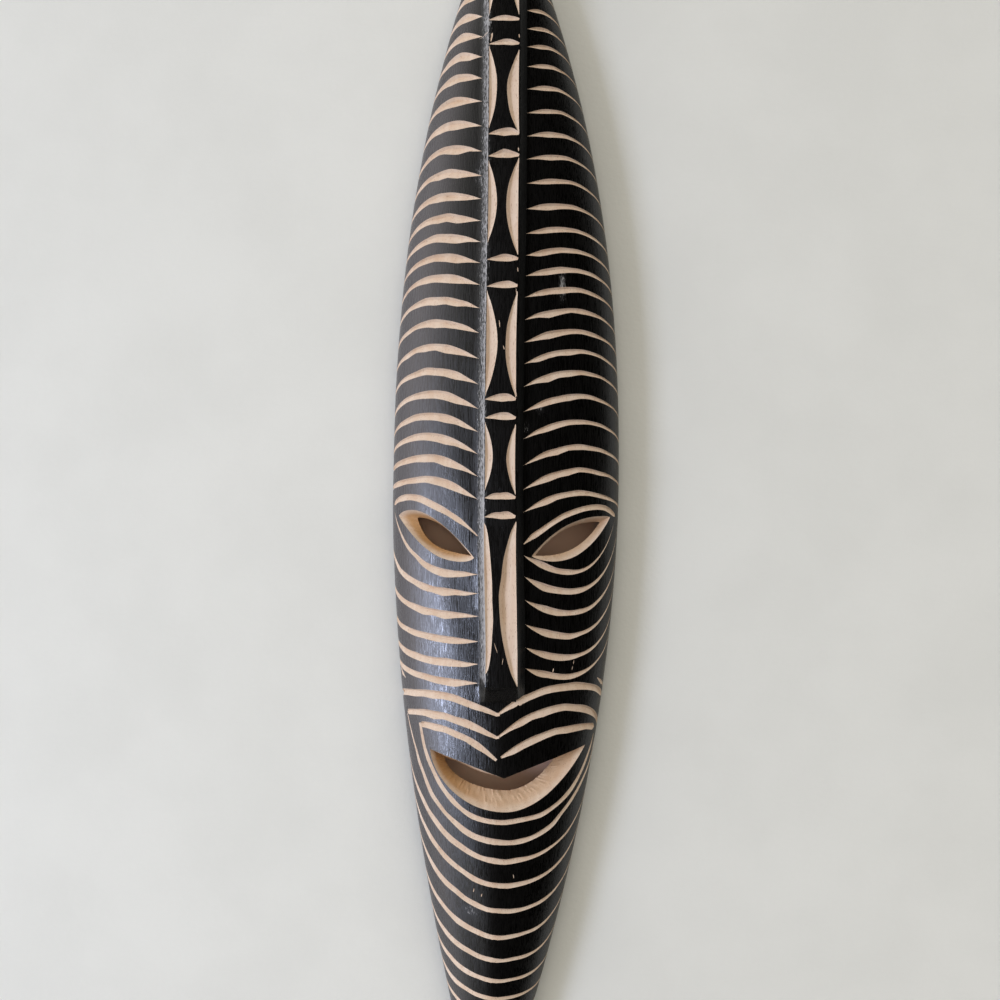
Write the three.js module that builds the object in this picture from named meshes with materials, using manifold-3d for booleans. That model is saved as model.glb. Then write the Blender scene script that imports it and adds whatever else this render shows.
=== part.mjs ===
// A long, leaf-shaped wooden mask, carved from one half-log and hollowed from behind.
// Frame: millimetres, +X across the face, +Y towards the crown, +Z out of the face.
// The mask lies on its flat back rim, with the origin under its middle.
// Left and right are as seen by someone who looks at the face.
import * as THREE from "three";
import Module from "manifold-3d";
import { mergeVertices } from "three/addons/utils/BufferGeometryUtils.js";

// Outline: a leaf, widest just above the eyes, with small round ends.
const LENGTH = 1000;
const WIDTH = 182;
const WIDEST_AT = 16;
const CROWN_REACH = 495;
const CHIN_REACH = 530;
const CROWN_FULLNESS = 2.3;
const CHIN_FULLNESS = 1.8;
const TIP_RADIUS = 9;
const BOW = 7.5;

// Cross-section: a rounded gable over a short upright rim.
const RIM_HEIGHT = 8;
const KEEL_HEIGHT = 58;
const TIP_HEIGHT = 22;
const TIP_DROP = 6;
const KEEL_FULLNESS = 2.5;
const GABLE_SHARE = 0.22;
const SHOULDER = 0.9;

// Crest: a raised band from the crown to the tip of the nose.
const CREST_HALF = 12.7;
const CREST_FLANK = 5;
const CREST_SHARE = 0.32;
const FOREHEAD_RISE = 5;
const NOSE_RISE = 9;
const NOSE_ROOT = 0;
const NOSE_TIP = -134.5;
const NOSE_FOOT = -147.4;

// Hollow: a trough in the back that leaves both ends solid.
const WALL = 12;
const ROOF = 17;
const HOLLOW_REACH = 412;
const HOLLOW_STATIONS = 22;
const HOLLOW_SIDES = 10;
const BELOW_BACK = 2;

// Cuts: V-shaped strokes of a gouge through the black paint, steeper on their upper or left side.
const CUT_DEPTH_SHARE = 0.62;
const KEEL_SHIFT = 0.3;
const CUT_OVERSHOOT = 2;
const SIDE_COLUMNS = 8;
const FOOT_COLUMN = 2;
const RIM_COLUMN = FOOT_COLUMN + SIDE_COLUMNS;
const QUARTER = Math.PI / 2;
const KEEL_STEP = 60;
const RIM_STEP = 30;

// Forehead rows: arches at an even pitch that drifts in two slow waves, as the carver worked by eye.
const FOREHEAD = {
  left: {
    first: 408.2,
    pitch: 17.59,
    drifts: [
      { rise: 2.36, rows: 9, start: -1.48 },
      { rise: 1.61, rows: 16.9, start: 1.21 },
    ],
    from: -4,
    half: 3.9,
    outerDrop: 20,
    browDrop: 8,
  },
  right: {
    first: 397.1,
    pitch: 17.24,
    drifts: [
      { rise: -4.03, rows: 12.75, start: 2.84 },
      { rise: 0.91, rows: 4.9, start: -1.89 },
    ],
    from: -5,
    half: 3.3,
    outerDrop: 17,
    browDrop: 12,
  },
};
const FOREHEAD_LAST_ROW = 22;
const ARCH = { peak: 0.75, spread: 0.45, crownRise: 3, browRise: 10, top: 260, bottom: 20, browFrom: 90 };
const BROW = {
  left: { peak: 10, drop: 17, at: 0.97, spread: 0.65, half: 3.1 },
  right: { peak: 4.3, drop: 19.1, at: 0.95, spread: 0.61, half: 2.8 },
};

// Cheek rows: the first follows the eye, and the rest hang flatter below it.
const CHEEK = {
  left: { first: -49.3, pitch: 16.8, drift: 2.2, low: 0.38, lift: 10, liftStep: 0, eyeLift: 46, half: 2.8 },
  right: { first: -46.4, pitch: 16.3, drift: 1.2, low: 0.65, lift: 62, liftStep: 3.5, eyeLift: 0, half: 3.3 },
};
const CHEEK_ROWS = 6;

// Lip rows: chevrons that meet on the keel over the mouth.
const LIPS = [
  { middle: -157, left: -144, right: -136.6, leftPeak: 0.8, rightPeak: 0.75, from: -10, to: 10 },
  { middle: -175, left: -159.8, right: -152.9, leftPeak: 0.8, rightPeak: 0.7, from: -8, to: 9 },
  { middle: -192, left: -169.7, right: -169, leftPeak: 0.74, rightPeak: 0.95, from: -6, to: 7 },
];
const LIP_OUTER_DROP = 0.4;
const LIP_HALF = 3.5;

// Chin rows: hanging curves, steeper on the left, that flatten towards the chin.
const CHIN = {
  first: -240.4,
  pitch: 17.7,
  drift: 4.3,
  driftRows: 8,
  rows: 14,
  reach: 1.2,
  half: 3.1,
  lean: 0.05,
  mostLean: 0.2,
  left: { lift: 74, fadeRows: 5, power: 2 },
  right: { lift: 30, least: 4, lastRow: 6, power: 2.3 },
  firstColumns: [-5, -6],
};

// Two upright cuts at the left corner of the mouth, as turn and height, join the lip and chin rows.
const CORNER_CUTS = [
  [
    [-0.6, -220.5],
    [-0.75, -208.5],
    [-0.89, -193],
    [-0.95, -179],
    [-0.94, -167],
  ],
  [
    [-0.9, -219],
    [-1.04, -202],
    [-1.15, -184],
    [-1.22, -160],
  ],
];
const CORNER_CUT_HALF = 2.4;
const CORNER_CUT_STEPS = 7;

// Crest panels: a bar, a pair of long lens cuts and a bar, from the crown down to the nose.
const PANELS = [
  [470, 384.9],
  [365.3, 293.4],
  [276, 195],
  [174.1, 87.4],
  [72.9, 11.8],
  [-2.7, -131],
];
const BAR_HALF = 3.1;
const BAR_STEPS = 4;
const LENS_WIDTHS = { left: 7.6, right: 10, noseLeft: 8.5, noseRight: 15.5 };
const LENS_DEPTH_SHARE = 0.5;
const LENS_KEEL_SHIFT = -0.5;
const LENS_MARGIN = 0.4;
const LENS_STEPS = 6;
const BAR_GAP = -1;

// Eyes: slanting almonds, bevelled most along the lower lid and at the outer corner.
const EYES = {
  left: {
    outline: { inner: [-20.8, -36.3], outer: [-83.7, -5], upper: 12, lower: 13.8 },
    hole: { inner: [-26.4, -33], outer: [-66.5, -8], upper: 6.2, lower: 8.4 },
  },
  right: {
    outline: { inner: [23.7, -35.3], outer: [84, -3.4], upper: 8.6, lower: 14 },
    hole: { inner: [28, -34], outer: [76.5, -6.5], upper: 7.2, lower: 8.4 },
  },
};
const EYE_STEPS = 7;
const UPPER_LID_SKEW = 1.27;
const LOWER_LID_POWER = 0.65;
const EYE_BEVEL_DEPTH = 9;

// Mouth: a wide smile under a pointed upper lip, with a broad bevel along the lower lip.
const MOUTH = {
  outline: {
    left: [-54.5, -187.8],
    right: [67, -183.5],
    middle: 5.1,
    point: -206.3,
    bottom: -232.3,
  },
  hole: {
    left: [-44, -195],
    right: [38, -193.5],
    middle: 5.1,
    point: -208,
    bottom: -219,
  },
  upperPower: 0.9,
  lowerPower: 0.6,
  bevelDepth: 14,
};
const MOUTH_STEPS = 8;
const CUTTER_ABOVE = 40;

const wasm = await Module();
wasm.setup();

function halfWidth(y) {
  const crownward = y > WIDEST_AT;
  const reach = crownward ? CROWN_REACH : CHIN_REACH;
  const fullness = crownward ? CROWN_FULLNESS : CHIN_FULLNESS;
  const leaf = 1 - Math.pow(Math.abs(y - WIDEST_AT) / reach, fullness);
  return (WIDTH / 2) * leaf * tipRound(y);
}

// 1 along the mask, falling on a quarter circle to 0 at either end.
function tipRound(y) {
  const inFromTip = LENGTH / 2 - Math.abs(y);
  if (inFromTip >= TIP_RADIUS) return 1;
  return Math.sqrt(Math.max(0, 1 - (1 - inFromTip / TIP_RADIUS) ** 2));
}

function keelHeight(y) {
  const along = Math.abs(y) / (LENGTH / 2);
  const arch = (KEEL_HEIGHT - TIP_HEIGHT) * (1 - Math.pow(along, KEEL_FULLNESS));
  return TIP_HEIGHT + arch - TIP_DROP * (1 - tipRound(y));
}

function crestHalf(y) {
  return Math.min(CREST_HALF, CREST_SHARE * halfWidth(y));
}

function crestFoot(y) {
  return crestHalf(y) * (1 + CREST_FLANK / CREST_HALF);
}

function crestRise(y) {
  if (y <= NOSE_FOOT) return 0;
  const down = Math.max(0, (NOSE_ROOT - y) / (NOSE_ROOT - NOSE_TIP));
  const full = THREE.MathUtils.lerp(FOREHEAD_RISE, NOSE_RISE, down);
  const end = Math.min(1, (y - NOSE_FOOT) / (NOSE_TIP - NOSE_FOOT));
  return full * end * (crestHalf(y) / CREST_HALF);
}

// A point on the outer skin: turn is the angle from the keel, 0, to the rim, a quarter turn.
function skin(turn, y) {
  const across = Math.sin(turn);
  const round = Math.pow(Math.max(0, Math.cos(turn)), SHOULDER);
  const profile = (1 - GABLE_SHARE) * round + GABLE_SHARE * (1 - Math.abs(across));
  const x = halfWidth(y) * across;
  const foot = crestFoot(y);
  const flank = foot - crestHalf(y);
  const onCrest = flank > 0 ? THREE.MathUtils.clamp((foot - Math.abs(x)) / flank, 0, 1) : 0;
  const z = RIM_HEIGHT + (keelHeight(y) - RIM_HEIGHT) * profile + crestRise(y) * onCrest;
  return new THREE.Vector3(x - BOW * (y / (LENGTH / 2)) ** 2, y, z);
}

// The turn and the skin's height over a place in plan.
function turnAt(x, y) {
  const across = (x + BOW * (y / (LENGTH / 2)) ** 2) / halfWidth(y);
  return Math.asin(THREE.MathUtils.clamp(across, -1, 1));
}

function skinHeight(x, y) {
  return skin(turnAt(x, y), y).z;
}

// The direction square to the skin, out of the face.
function skinNormal(turn, y) {
  const small = 0.02;
  const alongX = skin(turn + small, y).sub(skin(turn - small, y));
  const alongY = skin(turn, y + 1).sub(skin(turn, y - 1));
  return alongX.cross(alongY).normalize();
}

// Columns run the mask's length: 0 on the keel, 1 and 2 at the crest's edge and foot, the last on the rim,
// and those on the left have a minus sign.
function columnTurn(column, y) {
  const step = Math.abs(column);
  const side = Math.sign(column);
  const width = Math.max(halfWidth(y), 1e-6);
  if (step === 0) return 0;
  const foot = Math.asin(Math.min(1, crestFoot(y) / width));
  if (step === 1) return side * Math.asin(Math.min(1, crestHalf(y) / width));
  return side * (foot + ((step - FOOT_COLUMN) / SIDE_COLUMNS) * (QUARTER - foot));
}

// A stroke is a path, as a height for each turn, that begins and ends in a point on a column.
function foreheadRows(sideName) {
  const side = sideName === "left" ? -1 : 1;
  const { first, pitch, drifts, from, half, outerDrop, browDrop } = FOREHEAD[sideName];
  const rows = [];
  for (let k = from; k <= FOREHEAD_LAST_ROW; k++) {
    const drift = drifts.reduce((sum, d) => sum + d.rise * Math.sin((2 * Math.PI * k) / d.rows + d.start), 0);
    const peak = first - pitch * k + drift;
    const down = THREE.MathUtils.smoothstep(ARCH.top - peak, 0, ARCH.top - ARCH.bottom);
    const nearBrow = THREE.MathUtils.smoothstep(ARCH.browFrom - peak, 0, ARCH.browFrom - ARCH.bottom);
    const innerRise = THREE.MathUtils.lerp(ARCH.crownRise, ARCH.browRise, down);
    const outerRise = THREE.MathUtils.lerp(outerDrop, browDrop, nearBrow);
    const size = Math.min(1, halfWidth(peak) / (WIDTH / 2) + 0.25);
    rows.push({
      from: side * FOOT_COLUMN,
      to: side * RIM_COLUMN,
      half: half * size,
      path: (turn) => {
        const off = Math.abs(turn) - ARCH.peak;
        if (off < 0) return peak - innerRise * size * (off / ARCH.spread) ** 2;
        return peak - outerRise * size * (off / (QUARTER - ARCH.peak)) ** 1.5;
      },
    });
  }
  return rows;
}

function browRow(sideName) {
  const side = sideName === "left" ? -1 : 1;
  const { peak, drop, at, spread, half } = BROW[sideName];
  return {
    from: side * FOOT_COLUMN,
    to: side * (RIM_COLUMN - 1),
    half,
    path: (turn) => peak - drop * ((Math.abs(turn) - at) / spread) ** 2,
  };
}

function cheekRows(sideName) {
  const side = sideName === "left" ? -1 : 1;
  const { first, pitch, drift, low, lift, liftStep, eyeLift, half } = CHEEK[sideName];
  return Array.from({ length: CHEEK_ROWS }, (_, k) => {
    const lowest = first - pitch * k + drift * Math.sin((2 * Math.PI * k) / (CHEEK_ROWS - 1));
    const rise = lift - liftStep * k + eyeLift * Math.exp(-k);
    return {
      from: side * FOOT_COLUMN,
      to: side * (k === 0 ? RIM_COLUMN - 2 : RIM_COLUMN),
      half,
      path: (turn) => lowest + rise * (Math.abs(turn) - low) ** 2,
    };
  });
}

function lipRow({ middle, left, right, leftPeak, rightPeak, from, to }) {
  return {
    from,
    to,
    half: LIP_HALF,
    path: (turn) => {
      const peak = turn < 0 ? left : right;
      const peakAt = turn < 0 ? leftPeak : rightPeak;
      const off = (Math.abs(turn) - peakAt) / peakAt;
      return peak - (peak - middle) * off ** 2 * (off > 0 ? LIP_OUTER_DROP : 1);
    },
  };
}

function chinRow(k) {
  const { left, right } = CHIN;
  const lowest = CHIN.first - CHIN.pitch * k + CHIN.drift * Math.sin((2 * Math.PI * k) / CHIN.driftRows);
  const lean = Math.min(CHIN.mostLean, CHIN.lean * k);
  const leftLift = left.lift * Math.exp(-k / left.fadeRows);
  const rightLift = right.least + right.lift / (1 + Math.exp(k - right.lastRow));
  return {
    from: CHIN.firstColumns[k] ?? -RIM_COLUMN,
    to: RIM_COLUMN,
    half: CHIN.half * Math.min(1, halfWidth(lowest) / (WIDTH / 2) + 0.35),
    path: (turn) => {
      const off = (turn - lean) / CHIN.reach;
      if (off < 0) return lowest + leftLift * Math.pow(-off, left.power);
      return lowest + rightLift * Math.pow(off, right.power);
    },
  };
}

function allStrokes() {
  return [
    ...foreheadRows("left"),
    ...foreheadRows("right"),
    browRow("left"),
    browRow("right"),
    ...cheekRows("left"),
    ...cheekRows("right"),
    ...LIPS.map(lipRow),
    ...Array.from({ length: CHIN.rows }, (_, k) => chinRow(k)),
  ];
}

// Where a stroke crosses a column: the column's turn depends a little on the height, so it takes a few steps.
function crossing(stroke, column) {
  let y = stroke.path(columnTurn(column, 0));
  for (let i = 0; i < 8; i++) y = stroke.path(columnTurn(column, THREE.MathUtils.clamp(y, -490, 490)));
  return y;
}

// The half-width of a stroke on a column: nothing at its two ends and nearly even between them.
function halfAt(stroke, column) {
  const share = (column - stroke.from) / (stroke.to - stroke.from);
  return stroke.half * Math.pow(Math.max(0, Math.sin(Math.PI * share)), 0.45);
}

// The front of the mask as one sheet of triangles, column by column, with every stroke sunk into it.
class Front {
  constructor(strokes) {
    this.points = [];
    this.triangles = [];
    this.columns = new Map();
    for (let c = -RIM_COLUMN; c <= RIM_COLUMN; c++) this.columns.set(c, []);
    this.addStations();
    this.marks = strokes.map((stroke) => this.addStroke(stroke));
    for (const chain of this.columns.values()) chain.sort((a, b) => b.y - a.y);
    for (let c = -RIM_COLUMN; c < RIM_COLUMN; c++) this.fillStrip(c);
  }

  vertex(column, y, depth = 0) {
    const chain = this.columns.get(column);
    const same = chain.find((v) => Math.abs(v.y - y) < 1e-6);
    if (same) return same;
    const turn = columnTurn(column, y);
    const point = skin(turn, y).addScaledVector(skinNormal(turn, y), -depth);
    const made = { y, index: this.points.length, point };
    this.points.push(point);
    chain.push(made);
    return made;
  }

  addStations() {
    const tips = [0, 1.2, 4, TIP_RADIUS];
    for (const column of this.columns.keys()) {
      for (const inward of tips) {
        this.vertex(column, LENGTH / 2 - inward);
        this.vertex(column, inward - LENGTH / 2);
      }
    }
    for (const column of [-1, 0, 1]) {
      for (let y = 7 * KEEL_STEP; y > NOSE_TIP; y -= KEEL_STEP) this.vertex(column, y);
      this.vertex(column, NOSE_TIP);
      this.vertex(column, NOSE_FOOT);
    }
    this.vertex(-FOOT_COLUMN, NOSE_FOOT);
    this.vertex(FOOT_COLUMN, NOSE_FOOT);
  }

  addStroke(stroke) {
    const marks = new Map();
    const low = Math.min(stroke.from, stroke.to);
    const high = Math.max(stroke.from, stroke.to);
    for (let column = low; column <= high; column++) {
      const y = crossing(stroke, column);
      const half = column === low || column === high ? 0 : halfAt(stroke, column);
      if (half) {
        const keel = this.vertex(column, y + KEEL_SHIFT * half, half * CUT_DEPTH_SHARE);
        marks.set(column, [this.vertex(column, y + half), keel, this.vertex(column, y - half)]);
      } else {
        const tip = this.vertex(column, y);
        marks.set(column, [tip, tip, tip]);
      }
    }
    return marks;
  }

  fillStrip(column) {
    const left = this.columns.get(column);
    const right = this.columns.get(column + 1);
    const rungs = [];
    for (const marks of this.marks) {
      if (!marks.has(column) || !marks.has(column + 1)) continue;
      for (let i = 0; i < 3; i++) rungs.push([marks.get(column)[i], marks.get(column + 1)[i]]);
    }
    rungs.push([left.at(-1), right.at(-1)]);
    rungs.sort((a, b) => b[0].y + b[1].y - a[0].y - a[1].y);
    let [l, r] = [0, 0];
    for (const [leftEnd, rightEnd] of rungs) {
      const [lEnd, rEnd] = [left.indexOf(leftEnd), right.indexOf(rightEnd)];
      if (lEnd < l || rEnd < r) throw new Error(`strokes cross in column ${column} at ${leftEnd.y} mm`);
      while (l < lEnd || r < rEnd) {
        const nextLeft = l < lEnd ? left[l + 1].y : -Infinity;
        const nextRight = r < rEnd ? right[r + 1].y : -Infinity;
        if (nextLeft >= nextRight) {
          this.triangles.push(left[l].index, left[l + 1].index, right[r].index);
          l++;
        } else {
          this.triangles.push(left[l].index, right[r + 1].index, right[r].index);
          r++;
        }
      }
    }
  }
}

// Closes the front with the upright rim band and the flat back, along the same rim points.
function bodySolid() {
  const front = new Front(allStrokes());
  const { points, triangles } = front;
  const under = (vertex) => {
    points.push(new THREE.Vector3(vertex.point.x, vertex.point.y, 0));
    return points.length - 1;
  };
  const leftRim = front.columns.get(-RIM_COLUMN);
  const rightRim = front.columns.get(RIM_COLUMN);
  const thin = (chain) => {
    const kept = [chain[0]];
    for (const v of chain.slice(1, -1)) {
      const nearTip = Math.abs(v.y) > LENGTH / 2 - 2 * TIP_RADIUS;
      if (nearTip || kept.at(-1).y - v.y > RIM_STEP) kept.push(v);
    }
    return [...kept, chain.at(-1)];
  };
  const feet = [leftRim, rightRim].map((rim) => thin(rim).map((v) => ({ y: v.y, index: under(v) })));
  const band = (upper, lower, flip) => {
    let [u, w] = [0, 0];
    const push = (a, b, c) => triangles.push(...(flip ? [a, c, b] : [a, b, c]));
    while (u < upper.length - 1 || w < lower.length - 1) {
      const nextUpper = u < upper.length - 1 ? upper[u + 1].y : -Infinity;
      const nextLower = w < lower.length - 1 ? lower[w + 1].y : -Infinity;
      if (nextUpper >= nextLower) {
        push(upper[u].index, lower[w].index, upper[u + 1].index);
        u++;
      } else {
        push(upper[u].index, lower[w].index, lower[w + 1].index);
        w++;
      }
    }
  };
  band(leftRim, feet[0], false);
  band(rightRim, feet[1], true);
  band(feet[0], feet[1], false);
  return solidFrom(points, triangles);
}

function solidFrom(points, triangles) {
  const geometry = new THREE.BufferGeometry();
  const positions = points.flatMap((p) => [p.x, p.y, p.z]);
  geometry.setAttribute("position", new THREE.Float32BufferAttribute(positions, 3));
  geometry.setIndex(triangles);
  const merged = mergeVertices(geometry, 1e-3);
  const index = merged.index.array;
  const kept = [];
  for (let i = 0; i < index.length; i += 3) {
    const [a, b, c] = [index[i], index[i + 1], index[i + 2]];
    if (a !== b && b !== c && c !== a) kept.push(a, b, c);
  }
  return new wasm.Manifold(
    new wasm.Mesh({
      numProp: 3,
      vertProperties: merged.attributes.position.array,
      triVerts: new Uint32Array(kept),
    }),
  );
}

// A closed solid through rings of equal length, with its first and last ring capped from their middles.
function loft(rings) {
  const points = rings.flat();
  const count = rings[0].length;
  const triangles = [];
  for (let r = 0; r < rings.length - 1; r++) {
    for (let i = 0; i < count; i++) {
      const [a, b] = [r * count + i, r * count + ((i + 1) % count)];
      triangles.push(a, b, b + count, a, b + count, a + count);
    }
  }
  const cap = (ring, flip) => {
    const start = ring * count;
    const middle = points.length;
    const sum = rings[ring].reduce((s, p) => s.add(p), new THREE.Vector3());
    points.push(sum.divideScalar(count));
    for (let i = 0; i < count; i++) {
      const [a, b] = [start + i, start + ((i + 1) % count)];
      triangles.push(...(flip ? [middle, b, a] : [middle, a, b]));
    }
  };
  cap(0, true);
  cap(rings.length - 1, false);
  const solid = solidFrom(points, triangles);
  return solid.volume() < 0 ? solidFrom(points, reversed(triangles)) : solid;
}

function reversed(triangles) {
  const turned = [];
  for (let i = 0; i < triangles.length; i += 3) turned.push(triangles[i], triangles[i + 2], triangles[i + 1]);
  return turned;
}

// The trough behind the face, as rings of an arch that shrinks to nothing towards both ends.
function hollowSolid() {
  const rings = [];
  for (let s = 0; s <= HOLLOW_STATIONS; s++) {
    const along = -Math.cos((Math.PI * s) / HOLLOW_STATIONS);
    const y = HOLLOW_REACH * along;
    const ending = Math.sqrt(Math.max(1e-4, 1 - Math.pow(Math.abs(along), 5)));
    const half = (halfWidth(y) - WALL) * ending;
    const height = (keelHeight(y) - ROOF) * ending;
    const ring = [];
    for (let i = 0; i <= HOLLOW_SIDES; i++) {
      const angle = Math.PI * (i / HOLLOW_SIDES);
      const x = half * Math.cos(angle) - BOW * (y / (LENGTH / 2)) ** 2;
      ring.push(new THREE.Vector3(x, y, height * Math.pow(Math.sin(angle), SHOULDER)));
    }
    ring[0].z = ring[HOLLOW_SIDES].z = 0;
    ring.push(ring[HOLLOW_SIDES].clone().setZ(-BELOW_BACK));
    ring.push(ring[0].clone().setZ(-BELOW_BACK));
    rings.push(ring);
  }
  return loft(rings);
}

// A cutter through the wall: straight below the bevel, wider up to its outline, and straight above the skin.
function openingSolid(outline, hole, bevelDepth) {
  const place = ([x, y], z) => new THREE.Vector3(x, y, z);
  const inside = hole.map((p) => place(p, -BELOW_BACK));
  const lip = hole.map((p) => place(p, skinHeight(...p) - bevelDepth));
  const edge = outline.map((p) => place(p, skinHeight(...p)));
  const above = edge.map((p) => p.clone().setZ(p.z + CUTTER_ABOVE));
  return loft([inside, lip, edge, above]);
}

// Points round an almond: out along its upper lid to the outer corner, and back along its lower lid.
function almond({ inner, outer, upper, lower }) {
  const along = new THREE.Vector2(outer[0] - inner[0], outer[1] - inner[1]);
  const across = new THREE.Vector2(-along.y, along.x).normalize();
  if (across.y < 0) across.negate();
  const at = (share, bulge) => {
    const place = new THREE.Vector2(...inner).addScaledVector(along, share).addScaledVector(across, bulge);
    return [place.x, place.y];
  };
  const points = [];
  for (let i = 0; i < EYE_STEPS; i++) {
    const share = i / EYE_STEPS;
    points.push(at(share, upper * Math.sin(Math.PI * Math.pow(share, UPPER_LID_SKEW))));
  }
  for (let i = 0; i < EYE_STEPS; i++) {
    const share = 1 - i / EYE_STEPS;
    points.push(at(share, -lower * Math.pow(1 - (2 * share - 1) ** 2, LOWER_LID_POWER)));
  }
  return points;
}

function eyeSolid(sideName) {
  const { outline, hole } = EYES[sideName];
  return openingSolid(almond(outline), almond(hole), EYE_BEVEL_DEPTH);
}

// Points round a smile: its upper edge from left to right, dipping to a point, and back along its lower edge.
function smile({ left, right, middle, point, bottom }) {
  const span = (x) => {
    const corner = x < middle ? left : right;
    return { corner: corner[1], out: Math.min(1, Math.abs((x - middle) / (corner[0] - middle))) };
  };
  const upper = (x) => {
    const { corner, out } = span(x);
    return point + (corner - point) * Math.pow(out, MOUTH.upperPower);
  };
  const lower = (x) => {
    const { corner, out } = span(x);
    return corner + (bottom - corner) * Math.pow(1 - out * out, MOUTH.lowerPower);
  };
  const points = [];
  for (let i = 0; i < MOUTH_STEPS; i++) {
    const x = THREE.MathUtils.lerp(left[0], right[0], i / MOUTH_STEPS);
    points.push([x, upper(x)]);
  }
  for (let i = 0; i < MOUTH_STEPS; i++) {
    const x = THREE.MathUtils.lerp(left[0], right[0], (1 + Math.cos((Math.PI * i) / MOUTH_STEPS)) / 2);
    points.push([x, lower(x)]);
  }
  return points;
}

function mouthSolid() {
  return openingSolid(smile(MOUTH.outline), smile(MOUTH.hole), MOUTH.bevelDepth);
}

// A V-shaped cut along stations on the skin; each has a half-width, and its keel may sit off the middle.
function gougeCut(stations, depthShare, keelShift) {
  const onSkin = stations.map(({ x, y }) => new THREE.Vector3(x, y, skinHeight(x, y)));
  const rings = stations.map(({ x, y, half }, i) => {
    const travel = onSkin[Math.min(i + 1, onSkin.length - 1)].clone().sub(onSkin[Math.max(i - 1, 0)]);
    const normal = skinNormal(turnAt(x, y), y);
    const across = travel.cross(normal).normalize();
    const depth = half * depthShare;
    const keel = onSkin[i].clone().addScaledVector(across, keelShift * half).addScaledVector(normal, -depth);
    const over = (side) => {
      const edge = onSkin[i].clone().addScaledVector(across, side * half);
      return edge.sub(keel).multiplyScalar(1 + CUT_OVERSHOOT / depth).add(keel);
    };
    return [over(-1), keel, over(1)];
  });
  return loft(rings);
}

// 0 at both ends of a cut and 1 in its middle, kept off 0 so that every ring has some size.
function swell(share) {
  return Math.max(0.06, Math.sin(Math.PI * share));
}

function crestMiddle(y) {
  return -BOW * (y / (LENGTH / 2)) ** 2;
}

function barCut(y) {
  const reach = crestHalf(y) - LENS_MARGIN;
  const stations = Array.from({ length: BAR_STEPS + 1 }, (_, i) => {
    const share = i / BAR_STEPS;
    const x = crestMiddle(y) + THREE.MathUtils.lerp(-reach, reach, share);
    return { x, y, half: BAR_HALF * swell(share) };
  });
  return gougeCut(stations, CUT_DEPTH_SHARE, -KEEL_SHIFT);
}

function lensCut(side, top, bottom, width) {
  const stations = Array.from({ length: LENS_STEPS + 1 }, (_, i) => {
    const share = i / LENS_STEPS;
    const y = THREE.MathUtils.lerp(bottom, top, share);
    const half = (width / 2) * swell(share);
    return { x: crestMiddle(y) + side * (crestHalf(y) - LENS_MARGIN - half), y, half };
  });
  return gougeCut(stations, LENS_DEPTH_SHARE, LENS_KEEL_SHIFT);
}

function crestCuts() {
  return PANELS.flatMap(([top, bottom], i) => {
    const isNose = i === PANELS.length - 1;
    const size = crestHalf(top) / CREST_HALF;
    const lensTop = top - BAR_HALF - BAR_GAP;
    const lensBottom = isNose ? bottom : bottom + BAR_HALF + BAR_GAP;
    const leftWidth = isNose ? LENS_WIDTHS.noseLeft : LENS_WIDTHS.left * size;
    const rightWidth = isNose ? LENS_WIDTHS.noseRight : LENS_WIDTHS.right * size;
    const bars = isNose ? [barCut(top)] : [barCut(top), barCut(bottom)];
    const leftLens = lensCut(-1, lensTop, lensBottom, leftWidth);
    const rightLens = lensCut(1, lensTop, lensBottom, rightWidth);
    return [...bars, leftLens, rightLens];
  });
}

function cornerCut(path) {
  const curve = new THREE.SplineCurve(path.map(([turn, y]) => new THREE.Vector2(turn, y)));
  const stations = curve.getPoints(CORNER_CUT_STEPS).map(({ x: turn, y }, i) => {
    return { x: skin(turn, y).x, y, half: CORNER_CUT_HALF * swell(i / CORNER_CUT_STEPS) };
  });
  return gougeCut(stations, CUT_DEPTH_SHARE, 0);
}

function maskSolid() {
  const cutters = [hollowSolid(), eyeSolid("left"), eyeSolid("right"), mouthSolid()];
  cutters.push(...crestCuts(), ...CORNER_CUTS.map(cornerCut));
  return cutters.reduce((solid, cutter) => solid.subtract(cutter), bodySolid());
}

function geometryOf(solid) {
  const mesh = solid.getMesh();
  const positions = new Float32Array(mesh.numVert * 3);
  for (let i = 0; i < mesh.numVert; i++) {
    positions.set(mesh.vertProperties.subarray(i * mesh.numProp, i * mesh.numProp + 3), i * 3);
  }
  const geometry = new THREE.BufferGeometry();
  geometry.setAttribute("position", new THREE.BufferAttribute(positions, 3));
  geometry.setIndex(new THREE.BufferAttribute(mesh.triVerts, 1));
  geometry.computeVertexNormals();
  return geometry;
}

const blackenedWood = new THREE.MeshStandardMaterial({ color: 0x26262a, roughness: 0.45, metalness: 0 });

const mask = new THREE.Mesh(geometryOf(maskSolid()), blackenedWood);
mask.name = "mask";

const group = new THREE.Group();
group.add(mask);

export default group;
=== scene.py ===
# %% [markdown]
# # A leaf-shaped wall mask, carved and blackened
# The real mask is one half-log, about a metre long. The carver shaped a leaf with a keel down its
# middle, hollowed the back, painted the front satin black, and only then cut the face with a gouge, so
# that every stroke shows pale bare wood with a crisp edge. The lesson keeps that order: blank, hollow,
# eyes and mouth, strokes, and then the finishes. All lengths are in millimetres until a mesh is made,
# because that is how the carver's sizes read.

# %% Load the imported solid
import math
from collections import namedtuple

import bmesh
import bpy
import numpy as np
from mathutils import Matrix, Vector


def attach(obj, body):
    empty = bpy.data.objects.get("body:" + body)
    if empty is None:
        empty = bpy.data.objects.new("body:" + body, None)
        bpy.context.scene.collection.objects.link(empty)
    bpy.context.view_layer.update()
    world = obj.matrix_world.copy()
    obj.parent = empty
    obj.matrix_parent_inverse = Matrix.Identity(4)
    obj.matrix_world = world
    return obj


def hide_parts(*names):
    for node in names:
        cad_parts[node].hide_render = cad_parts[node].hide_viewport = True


MM = 0.001


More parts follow.
